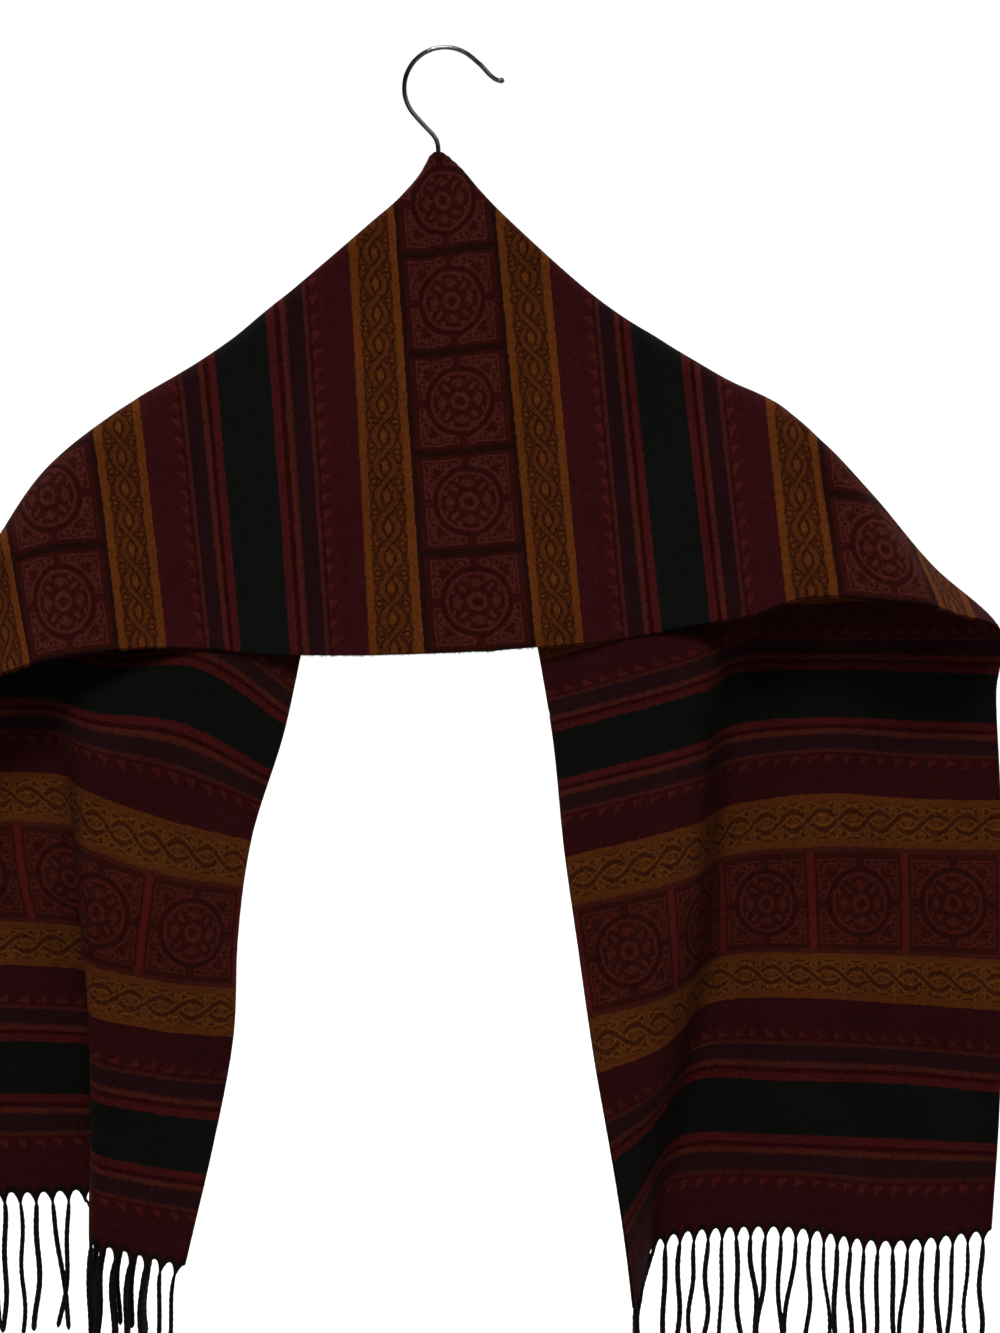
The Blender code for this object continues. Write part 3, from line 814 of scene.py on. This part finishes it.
# %% Node group: the woven chart
chart_group, start, end = new_group(
    "Woven chart",
    [("Place", VECTOR, (0, 0, 0))] + [(name, COLOUR, (0.1, 0.1, 0.1, 1.0)) for name in PATTERN_COLOURS],
    [("Colour", COLOUR), ("Relief", NUMBER)],
)
tree = chart_group
wander = noise(tree, start.outputs["Place"], 0.25, 2.0) * 2.2
true_along, true_across, _ = split_place(tree, start.outputs["Place"])
along = (true_along + wander).math("SNAP", MOTIF_STEP)
across = (true_across + wander).math("SNAP", MOTIF_STEP)
repeat = along.math("PINGPONG", HALF_REPEAT)
square = across.math("PINGPONG", 0.5 * ROUNDEL_PITCH).scaled(-1.0, 0.5 * ROUNDEL_PITCH)
flecks = noise(tree, start.outputs["Place"], 0.6, 1.5)
fleck = flecks.scaled(1.6, 1.05, clamp=True)
gaps = flecks.scaled(3.2, 0.95, clamp=True)
specks = flecks.above(0.15, 0.08)
motif, channel, divider = roundel(repeat, square)
links, link_middles = chain(repeat - GOLD_MIDDLE, across)
steps = (across * (1.0 / TRIANGLE_PITCH)).math("FRACT")
triangle_edge = steps.scaled(8.6, TRIANGLES[0])
triangles = (repeat - triangle_edge).above(0.0) * repeat.below(TRIANGLES[1])

colour = layer(start.outputs["Ground"], "Channel", channel)
colour = layer(colour, "Outline", motif * fleck)
colour = layer(colour, "Divider", divider)
for name, low, high in STRIPES:
    colour = layer(colour, name, repeat.line(0.5 * (low + high), 0.5 * (high - low)))
in_gold = repeat.line(GOLD_MIDDLE, 0.5 * (GOLD[1] - GOLD[0]))
colour = layer(colour, "Gold", in_gold)
colour = layer(colour, "Gold edge", in_gold * abs(repeat - GOLD_MIDDLE).above(CHAIN_HALF))
colour = layer(colour, "Gold edge", in_gold * link_middles.most(specks))
colour = layer(colour, "Link", in_gold * links * gaps)
colour = layer(colour, "Triangle", triangles * fleck)
colour = layer(colour, "Plum", abs(along).above(LAST_BAND))
colour = layer(colour, "Hem", abs(along).above(LAST_ROWS))
raised = (motif * repeat.below(ROUNDEL_HALF)).most(in_gold * links.inverse())
plug_in(tree, end.inputs["Colour"], colour)
plug_in(tree, end.inputs["Relief"], raised)
arrange(tree)
print("Woven chart:", len(tree.nodes), "nodes")


# %% [markdown]
# ### Wool for both sides of the cloth
#
# A jacquard cloth shows its pattern in other colours on its reverse. The face has pinkish
# outlines and dark dividers on dark red, and the reverse has bright red dividers and lighter
# outlines on browner gold. Both sides use the same two groups with their own colours. The yarn
# colours are set from the usual dyes as numbers from 0 to 255 and turned into linear light.


# %% Two wool materials
def dye(red, green, blue):
    """A display colour, 0 to 255, as linear light."""
    def linear(value):
        value /= 255.0
        return value / 12.92 if value <= 0.04045 else ((value + 0.055) / 1.055) ** 2.4

    return (linear(red), linear(green), linear(blue), 1.0)


FACE_DYES = {
    "Ground": dye(44, 12, 9), "Channel": dye(37, 10, 8), "Outline": dye(66, 27, 22), "Divider": dye(27, 9, 7),
    "Border": dye(30, 10, 10), "Gold": dye(72, 33, 11), "Gold edge": dye(84, 41, 13),
    "Link": dye(40, 15, 7), "Plum": dye(47, 12, 15), "Triangle": dye(66, 20, 20),
    "Dark line": dye(36, 6, 6), "Pink line": dye(58, 21, 20), "Blue plum": dye(29, 11, 13),
    "Orange red": dye(62, 23, 18), "Red": dye(60, 16, 17), "Green": dye(13, 15, 13),
    "Hem": dye(20, 10, 9),
}
REVERSE_DYES = {
    **FACE_DYES,
    "Ground": dye(40, 12, 8), "Channel": dye(34, 10, 7), "Outline": dye(62, 21, 17), "Divider": dye(66, 18, 16),
    "Gold": dye(48, 20, 8), "Gold edge": dye(70, 33, 11), "Link": dye(84, 44, 14),
    "Border": dye(52, 18, 13), "Green": dye(11, 12, 10), "Red": dye(54, 14, 13),
    "Orange red": dye(57, 21, 15), "Pink line": dye(50, 18, 15), "Triangle": dye(58, 17, 15),
    "Plum": dye(39, 9, 11),
}


def new_material(name):
    made = bpy.data.materials.new(name)
    made.use_nodes = True
    return made, made.node_tree, made.node_tree.nodes["Principled BSDF"]


def cloth_place(tree):
    """The place on the flat cloth, in millimetres, from the cloth's own UV map."""
    source = tree.nodes.new("ShaderNodeUVMap")
    source.uv_map = "cloth"
    return times(tree, source.outputs[0], 1.0 / MM)


def bump_from(tree, height, shader, strength=1.0):
    """A bump whose height is in millimetres."""
    bump = tree.nodes.new("ShaderNodeBump")
    bump.inputs["Distance"].default_value = MM
    bump.inputs["Strength"].default_value = strength
    plug_in(tree, bump.inputs["Height"], height)
    tree.links.new(bump.outputs[0], shader.inputs["Normal"])


RELIEF = 0.22


def wool(name, dyes):
    """Patterned wool: the chart gives the colour, and the nap its shade and bump."""
    made, tree, shader = new_material(name)
    place = cloth_place(tree)
    chart = add_group(tree, chart_group, Place=place, **dyes)
    nap = add_group(tree, wool_group, Place=place, Thread_pitch=0.85, Unevenness=1.0)
    plug_in(tree, shader.inputs["Base Color"], times(tree, chart.outputs["Colour"], nap.outputs["Shade"]))
    plug_in(tree, shader.inputs["Roughness"], nap.outputs["Roughness"])
    height = Signal(tree, nap.outputs["Height"]) + Signal(tree, chart.outputs["Relief"]) * RELIEF
    bump_from(tree, height, shader)
    shader.inputs["Specular IOR Level"].default_value = 0.02
    shader.inputs["Sheen Weight"].default_value = 0.006
    shader.inputs["Sheen Roughness"].default_value = 0.6
    shader.inputs["Sheen Tint"].default_value = (0.8, 0.45, 0.35, 1.0)
    arrange(tree)
    return made


face_wool = wool("patterned wool, face", FACE_DYES)
reverse_wool = wool("patterned wool, reverse", REVERSE_DYES)

# %% [markdown]
# ## Cloth shells
#
# Each length of cloth is a thin shell: a face layer and a reverse layer, joined by a rounded rim.
# Solidify could make it, but building both layers from the grid gives each side its own
# material, a place on the flat cloth for the chart and exact normals, so two neighbouring
# lengths meet without a visible line.

# %% Laying out the flat lengths for baking
CLOTH_THICK = 1.8
RIM_BULGE = 0.5
PAGE_MARGIN = 0.012
RIM_STRIP = 0.008


def page_layout(flat_along, flat_across):
    """Places on a square page for the face and the reverse, both from 0 to 1, and their scale."""
    stacked = max(flat_along, 2.0 * flat_across)
    beside = max(2.0 * flat_along, flat_across)
    room = 1.0 - 2.0 * PAGE_MARGIN - 8.0 * RIM_STRIP
    scale = room / min(stacked, beside)
    if stacked <= beside:
        step = np.array([0.0, flat_across * scale + PAGE_MARGIN])
    else:
        step = np.array([flat_along * scale + PAGE_MARGIN, 0.0])
    scale *= 1.0 - 2.0 * PAGE_MARGIN
    return scale, np.array([PAGE_MARGIN, PAGE_MARGIN]), step


# %% Building a shell
def new_object(name, mesh, *materials):
    made = bpy.data.objects.new(name, mesh)
    for finish in materials:
        mesh.materials.append(finish)
    bpy.context.scene.collection.objects.link(made)
    return made


def border_loop(rows, columns):
    """Grid indices round the edge, in order."""
    loop = [(0, j) for j in range(columns)]
    loop += [(i, columns - 1) for i in range(1, rows)]
    loop += [(rows - 1, j) for j in range(columns - 2, -1, -1)]
    loop += [(i, 0) for i in range(rows - 2, 0, -1)]
    return loop


def cloth_shell(name, first, last, flat_ends):
    """A length of the cloth between two rows of the grid, as a closed thin shell."""
    points, facing = surface[first : last + 1], normals[first : last + 1]
    rows, columns = points.shape[:2]
    lift = facing * (0.5 * CLOTH_THICK)
    loop = border_loop(rows, columns)
    rim, rim_facing = [], []
    for i, j in loop:
        inward = np.array([min(max(i, 1), rows - 2), min(max(j, 1), columns - 2)])
        outward = unit(points[i, j] - points[inward[0], inward[1]])
        inner_end = (i == 0 and flat_ends[0]) or (i == rows - 1 and flat_ends[1])
        rim.append(points[i, j] + outward * (0.0 if inner_end else RIM_BULGE))
        rim_facing.append(outward)
    vertices = np.concatenate([(points + lift).reshape(-1, 3), (points - lift).reshape(-1, 3), rim]) * MM
    index = np.arange(rows * columns).reshape(rows, columns)
    quads = np.stack([index[:-1, :-1], index[1:, :-1], index[1:, 1:], index[:-1, 1:]], axis=-1).reshape(-1, 4)
    quads = quads[:, ::-1]
    back = quads[:, ::-1] + rows * columns
    around = np.array([index[i, j] for i, j in loop])
    after = np.roll(around, -1)
    middle = 2 * rows * columns + np.arange(len(loop))
    middle_after = np.roll(middle, -1)
    rim_front = np.stack([around, after, middle_after, middle], axis=-1)
    rim_back = np.stack([middle, middle_after, after + rows * columns, around + rows * columns], axis=-1)
    faces = np.concatenate([quads, back, rim_front, rim_back])
    mesh = bpy.data.meshes.new(name)
    mesh.from_pydata(vertices.tolist(), [], faces.tolist())
    mesh.shade_smooth()
    made = new_object(name, mesh, face_wool, reverse_wool)
    slots = np.zeros(len(faces), int)
    slots[len(quads) : 2 * len(quads)] = 1
    slots[2 * len(quads) + len(loop) :] = 1
    mesh.polygons.foreach_set("material_index", slots)

    flat = np.stack([along_grid[first : last + 1], column_places[first : last + 1]], axis=-1).reshape(-1, 2) * MM
    flat_all = np.concatenate([flat, flat, flat[around]])
    corners = faces.reshape(-1)
    cloth_map = mesh.uv_layers.new(name="cloth")
    cloth_map.uv.foreach_set("vector", flat_all[corners].astype(np.float32).reshape(-1))

    size = flat.max(axis=0) - flat.min(axis=0)
    scale, corner, step = page_layout(*size)
    laid = (flat - flat.min(axis=0)) * scale + corner
    page = np.zeros((len(corners), 2))
    count = len(quads) * 4
    page[:count] = laid[corners[:count]]
    page[count : 2 * count] = laid[corners[count : 2 * count] - rows * columns] + step
    spread = (np.arange(len(loop) + 1) / len(loop))[:, None]
    strip_start, strip_end = np.array([PAGE_MARGIN, 1.0 - 7.0 * RIM_STRIP]), np.array([1.0 - 2 * PAGE_MARGIN, 0.0])
    low = strip_start + spread * strip_end
    for number, base in enumerate((2 * count, 2 * count + 4 * len(loop))):
        lower = low + np.array([0.0, 3.0 * RIM_STRIP * number])
        upper = lower + np.array([0.0, RIM_STRIP])
        strip = np.stack([lower[:-1], lower[1:], upper[1:], upper[:-1]], axis=1).reshape(-1, 2)
        page[base : base + 4 * len(loop)] = strip
    bake_map = mesh.uv_layers.new(name="OFBake")
    bake_map.uv.foreach_set("vector", page.astype(np.float32).reshape(-1))

    flat_facing = facing.reshape(-1, 3)
    mesh.normals_split_custom_set_from_vertices(np.concatenate([flat_facing, -flat_facing, rim_facing]).tolist())
    print(f"{name}: {2 * len(faces)} triangles, cut {size[1]:.3f} x {size[0]:.3f} m")
    return made, tuple(float(s) for s in (size[1], size[0]))


# %% The three lengths of cloth
left_end = len(rows_left) - 1
right_start = left_end + len(rows_middle) - 1
last_row = len(row_places) - 1
front_cloth, front_flat = cloth_shell("front_panel_cloth", left_end, right_start, (True, True))
left_cloth, left_flat = cloth_shell("left_tail_cloth", 0, left_end, (False, True))
right_cloth, right_flat = cloth_shell("right_tail_cloth", right_start, last_row, (True, False))

# %% [markdown]
# ## Fringe
#
# Every fringe yarn is two dark plies twisted together. A bevelled curve would be a plain round
# tube, so each yarn is swept by hand: a waisted ring of points turns as it moves down the yarn,
# which gives the rope-like surface. The yarns hang under their own weight, lean a little and wave,
# and a few neighbours cross.

# %% Yarn paths
FRINGE_LENGTH = 88.0
YARN_RADIUS = 1.75
PLY_TURN = 8.5
RING_STEP = 1.25
RING_SIDES = 8
# sideways lean of each yarn's end, in millimetres, from the neck selvedge outwards
YARN_LEANS = {
    "right": [
        0, 1, -1, 1, -1, 0.5, -1, 0, 1, -1, -2, -4, -2, -1, 6, 8,
        -7, 0, -10, -2, 7, -2, 0, 0, -1.5, 3, -9, -3, 2, -4.5, -2, -2,
    ],
    "left": [
        -4, 5, 0, -1.5, 0, -1, 1, -1, 2, -2, 1, 0, -1, 1, 2, -1,
        0, -1.5, 0, -7, 10, -1, 1, -2, 3, -1, 2, -2, 1, -3, 2, 1,
    ],
}
LAYER_GAP, FOLLOW_REACH = 7.0, 7.0
random = np.random.default_rng(7)


def hem_at(side, across):
    """The hem's middle, its downward direction and the cloth's facing, at one place across."""
    row, inner_row = (-1, -4) if side == "right" else (0, 3)
    places = column_places[row]

    def read(grid):
        return np.array([np.interp(across, places, grid[:, i]) for i in range(3)])

    point = read(surface[row])
    return point, unit(point - read(surface[inner_row])), unit(read(normals[row]))


def yarn_path(side, number):
    """Points down the middle of one fringe yarn."""
    point, down, facing = hem_at(side, (number + 0.5) * STRAND_PITCH)
    lean = YARN_LEANS[side][number]
    sway, wave, phase = random.uniform(0.8, 2.0), random.uniform(8.0, 13.0), random.uniform(0.0, 6.3)
    length = FRINGE_LENGTH * random.uniform(0.96, 1.0)
    s = np.arange(0.0, length, RING_STEP)
    settle = 1.0 - np.exp(-s / 12.0)
    path = point - down * 3.0 + np.outer(s - 12.0 * settle, (0.0, 0.0, -1.0)) + np.outer(12.0 * settle, down)
    path[:, 0] += lean * (s / length) ** 1.3 + sway * (1.0 - np.exp(-s / 25.0)) * np.sin(s / wave + phase)
    path[:, 1] += 0.5 * sway * (1.0 - np.exp(-s / 25.0)) * np.cos(s / wave + 1.7 * phase)
    path[:, 1] += np.sign(lean) * min(abs(lean), 5) * 0.35 * np.sqrt(s / length)
    return path, s, facing


def fall_in_line(paths):
    """Let each yarn of a hidden layer hang behind the nearest yarn in front of it."""
    roots = np.array([path[0] for path, _, _ in paths])
    for number in np.argsort(roots[:, 1]):
        ahead = [
            k for k in range(len(paths))
            if roots[k, 1] < roots[number, 1] - LAYER_GAP and abs(roots[k, 0] - roots[number, 0]) < FOLLOW_REACH
        ]
        if ahead:
            leader = min(ahead, key=lambda k: abs(roots[k, 0] - roots[number, 0]))
            path, s, _ = paths[number]
            led = np.interp(-path[:, 2], -paths[leader][0][:, 2], paths[leader][0][:, 0])
            path[:, 0] += (led - path[:, 0]) * (1.0 - np.exp(-s / 9.0))


# %% Sweeping twisted yarns
def sweep_yarn(path, s, facing, across):
    """Vertices, faces and cloth places of one twisted yarn."""
    along_path = unit(np.gradient(path, axis=0))
    side_way = unit(np.cross(along_path, facing))
    other_way = np.cross(along_path, side_way)
    angles = np.linspace(0.0, 2.0 * math.pi, RING_SIDES, endpoint=False)
    waist = 0.88 + 0.12 * abs(np.cos(angles))
    turned = angles[None, :] + (2.0 * math.pi / PLY_TURN) * s[:, None]
    root_taper = 1.0 - 0.5 * np.exp(-s / 3.5)
    end_taper = np.clip((s[-1] - s) / 2.5 + 0.25, 0.25, 1.0)
    radius = YARN_RADIUS * random.uniform(0.85, 1.15) * (root_taper * end_taper)[:, None] * waist[None, :]
    rings = (
        path[:, None, :]
        + (radius * np.cos(turned))[..., None] * side_way[:, None, :]
        + (radius * np.sin(turned))[..., None] * other_way[:, None, :]
    )
    count = len(path)
    k = np.arange(count * RING_SIDES).reshape(count, RING_SIDES)
    after = np.roll(k, -1, axis=1)
    quads = np.stack([k[:-1], after[:-1], after[1:], k[1:]], axis=-1).reshape(-1, 4).tolist()
    caps = [k[0, ::-1].tolist(), k[-1].tolist()]
    around = np.tile(angles, count) * YARN_RADIUS * MM + across * MM
    place = np.column_stack([np.repeat(s, RING_SIDES) * MM, around])
    return rings.reshape(-1, 3) * MM, quads + caps, place


def join_parts(name, parts, *materials):
    """One object from many parts of vertices, faces and places on the cloth."""
    vertices, faces, places, offset = [], [], [], 0
    for points, polygons, place in parts:
        vertices.append(points)
        places.append(place)
        faces += [[index + offset for index in polygon] for polygon in polygons]
        offset += len(points)
    mesh = bpy.data.meshes.new(name)
    mesh.from_pydata(np.concatenate(vertices).tolist(), [], faces)
    mesh.shade_smooth()
    corners = np.array([index for polygon in faces for index in polygon])
    cloth_map = mesh.uv_layers.new(name="cloth")
    cloth_map.uv.foreach_set("vector", np.concatenate(places)[corners].astype(np.float32).reshape(-1))
    print(f"{name}: {sum(len(polygon) - 2 for polygon in faces)} triangles")
    return new_object(name, mesh, *materials)


# %% Dark twisted yarn
yarn, tree, shader = new_material("twisted dark yarn")
place = cloth_place(tree)
nap = add_group(tree, wool_group, Place=place, Thread_pitch=0.4, Unevenness=1.6)
patchy = noise(tree, place, 0.16, 2.0, (1.0, 0.2, 1.0)).scaled(2.2, 0.35, clamp=True)
brown = mix_colours(tree, patchy, dye(9, 8, 8), dye(22, 14, 12))
plug_in(tree, shader.inputs["Base Color"], times(tree, brown, nap.outputs["Shade"]))
tree.links.new(nap.outputs["Roughness"], shader.inputs["Roughness"])
bump_from(tree, nap.outputs["Height"], shader, 0.6)
shader.inputs["Specular IOR Level"].default_value = 0.05
shader.inputs["Sheen Weight"].default_value = 0.005
arrange(tree)

fringes = {}
for side in ("left", "right"):
    paths = [yarn_path(side, number) for number in range(FRINGE_STRANDS)]
    fall_in_line(paths)
    strands = [sweep_yarn(*found, number * STRAND_PITCH) for number, found in enumerate(paths)]
    fringes[side] = join_parts(side + "_fringe_yarns", strands, yarn)

# %% [markdown]
# ## Loose yarn ends and fibres
#
# A brushed woollen selvedge is never a clean cut: the turns of the weft stand out as short fuzzy
# ends in the colours of their own stripe made 1.5 times lighter, a painted highlight for the light
# that loose fibres catch. Each one is a thin three-sided fibre with a bend. It carries the place of
# its root on the flat cloth, so the woven chart colours it.


# %% Fibres along the selvedges
def fibre(root, direction, bend, length, radius):
    """A short bent fibre with three sides, as vertices and faces."""
    sideways = unit(np.cross(direction, bend + np.array([0.3, 0.2, 0.1])))
    other = unit(np.cross(direction, sideways))
    rings = []
    for t, scale in ((0.0, 1.0), (0.5, 0.8), (1.0, 0.25)):
        centre = root + direction * (length * t) + bend * (length * 0.5 * t * t)
        for turn in (0.0, 2.1, 4.2):
            rings.append(centre + (sideways * math.cos(turn) + other * math.sin(turn)) * radius * scale)
    faces = [(0, 2, 1), (6, 7, 8)]
    for ring in (0, 3):
        for k in range(3):
            n = (k + 1) % 3
            faces.append((ring + k, ring + n, ring + 3 + n, ring + 3 + k))
    return np.array(rings) * MM, faces


def selvedge_fibres(name, column, first, last, count, length, outwards):
    """Fibres that stand out of one selvedge between two rows of the grid."""
    parts = []
    for _ in range(count):
        where = random.uniform(first, last - 0.001)
        row, w = int(where), where % 1.0
        root = surface[row, column] * (1 - w) + surface[row + 1, column] * w
        facing = normals[row, column]
        out = unit(surface[row, column] - surface[row, column - 3 * outwards])
        side_way = unit(surface[row + 1, column] - surface[row, column])
        root = root - out * 0.6 + facing * random.uniform(-0.8, 0.8)
        direction = unit(out + side_way * random.normal(0, 0.45) + facing * random.normal(0, 0.35))
        bend = side_way * random.normal(0, 0.7) + facing * random.normal(0, 0.5)
        reach = length * random.uniform(0.5, 1.4)
        points, faces = fibre(root, direction, bend, reach, random.uniform(0.12, 0.26))
        along = row_places[row] * (1 - w) + row_places[row + 1] * w
        place = np.tile([[along * MM, column_places[row, column] * MM]], (9, 1))
        parts.append((points, faces, place))
    return join_parts(name, parts, painted_light_ends)


# Painted highlight: the fibres take the face colours made 1.5 times lighter, for the light that loose fibres
# catch.
END_PAINTED_LIGHT = 1.5
painted_light_end_dyes = {}
for name, value in FACE_DYES.items():
    painted_light_end_dyes[name] = tuple(min(1.0, part * END_PAINTED_LIGHT) for part in value[:3]) + (1.0,)
painted_light_ends = wool("wool yarn ends, painted lighter", painted_light_end_dyes)
last_column = COLUMNS - 1
front_fuzz = selvedge_fibres("front_hem_fibres", last_column, left_end, right_start, 3600, 1.9, 1)
neck_fuzz = selvedge_fibres("neck_selvedge_fibres", 0, left_end, right_start, 1500, 1.1, -1)
left_fuzz = selvedge_fibres("left_selvedge_fibres", last_column, 0, left_end, 700, 1.2, 1)
left_neck_fuzz = selvedge_fibres("left_inner_fibres", 0, 0, left_end, 700, 1.2, -1)
right_fuzz = selvedge_fibres("right_selvedge_fibres", last_column, right_start, last_row, 900, 1.2, 1)
right_neck_fuzz = selvedge_fibres("right_inner_fibres", 0, right_start, last_row, 900, 1.2, -1)

# %% [markdown]
# ## Polished wire
#
# The hanger's wire is bright-drawn steel with thin chrome. The CAD shapes are right and stay, so
# they only get a better finish: a mirror-like metal with faint lengthwise drawing marks and a
# little dulling in patches.

# %% Chrome for the hanger
chrome, tree, shader = new_material("polished steel wire")
coordinates = tree.nodes.new("ShaderNodeTexCoord")
place_mm = times(tree, coordinates.outputs["Object"], 1.0 / MM)
dulling = noise(tree, place_mm, 0.12, 4.0)
drawing = noise(tree, place_mm, 1.6, 2.0)
tint = mix_colours(tree, dulling.scaled(1.6, 0.5, clamp=True), dye(72, 72, 75), dye(112, 112, 115))
plug_in(tree, shader.inputs["Base Color"], tint)
uneven = dulling * 0.3 + drawing * 0.12
plug_in(tree, shader.inputs["Roughness"], uneven.scaled(1.0, 0.18, clamp=True))
bump_from(tree, (drawing * 0.02).socket, shader)
shader.inputs["Metallic"].default_value = 1.0
shader.inputs["Specular Tint"].default_value = (0.08, 0.08, 0.09, 1.0)
arrange(tree)

TIP_PLACE = (36.6, 0.0, -20.2)
TIP_RADIUS = 1.85


def tip_bead(name, centre, radius, rings=14, sides=24):
    """A slightly flattened bead, turned about the wire's own direction."""
    points, faces = [], []
    for k in range(rings + 1):
        angle = math.pi * k / rings
        for turn in np.linspace(0.0, 2.0 * math.pi, sides, endpoint=False):
            x = -radius * 1.1 * math.cos(angle)
            around = radius * math.sin(angle)
            y, z = around * math.cos(turn), around * math.sin(turn)
            points.append((centre[0] + x, centre[1] + y, centre[2] + z))
    for k in range(rings):
        for n in range(sides):
            m = (n + 1) % sides
            faces.append((k * sides + n, k * sides + m, (k + 1) * sides + m, (k + 1) * sides + n))
    mesh = bpy.data.meshes.new(name)
    mesh.from_pydata((np.array(points) * MM).tolist(), [], faces)
    bead_shape = bmesh.new()
    bead_shape.from_mesh(mesh)
    bmesh.ops.remove_doubles(bead_shape, verts=bead_shape.verts, dist=1e-6)
    bmesh.ops.recalc_face_normals(bead_shape, faces=bead_shape.faces)
    bead_shape.to_mesh(mesh)
    bead_shape.free()
    mesh.shade_smooth()
    return new_object(name, mesh, chrome)


bead = tip_bead("hook_tip_bead", TIP_PLACE, TIP_RADIUS)
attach(bead, "root")

HANGER_NODES = ("hanger_hook", "hanger_shoulder_left", "hanger_shoulder_right", "hanger_bar")
for node_name in HANGER_NODES:
    for material_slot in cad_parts[node_name].material_slots:
        material_slot.material = chrome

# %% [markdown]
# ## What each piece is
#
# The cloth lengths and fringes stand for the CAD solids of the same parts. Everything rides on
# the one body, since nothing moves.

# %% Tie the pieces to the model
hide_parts("centre_panel")
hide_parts("left_tail")
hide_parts("right_tail")
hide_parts("left_fringe")
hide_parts("right_fringe")
fuzz_pieces = [front_fuzz, neck_fuzz, left_fuzz, left_neck_fuzz, right_fuzz, right_neck_fuzz]
for piece in [front_cloth, left_cloth, right_cloth] + fuzz_pieces:
    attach(piece, "root")
for piece in fringes.values():
    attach(piece, "root")
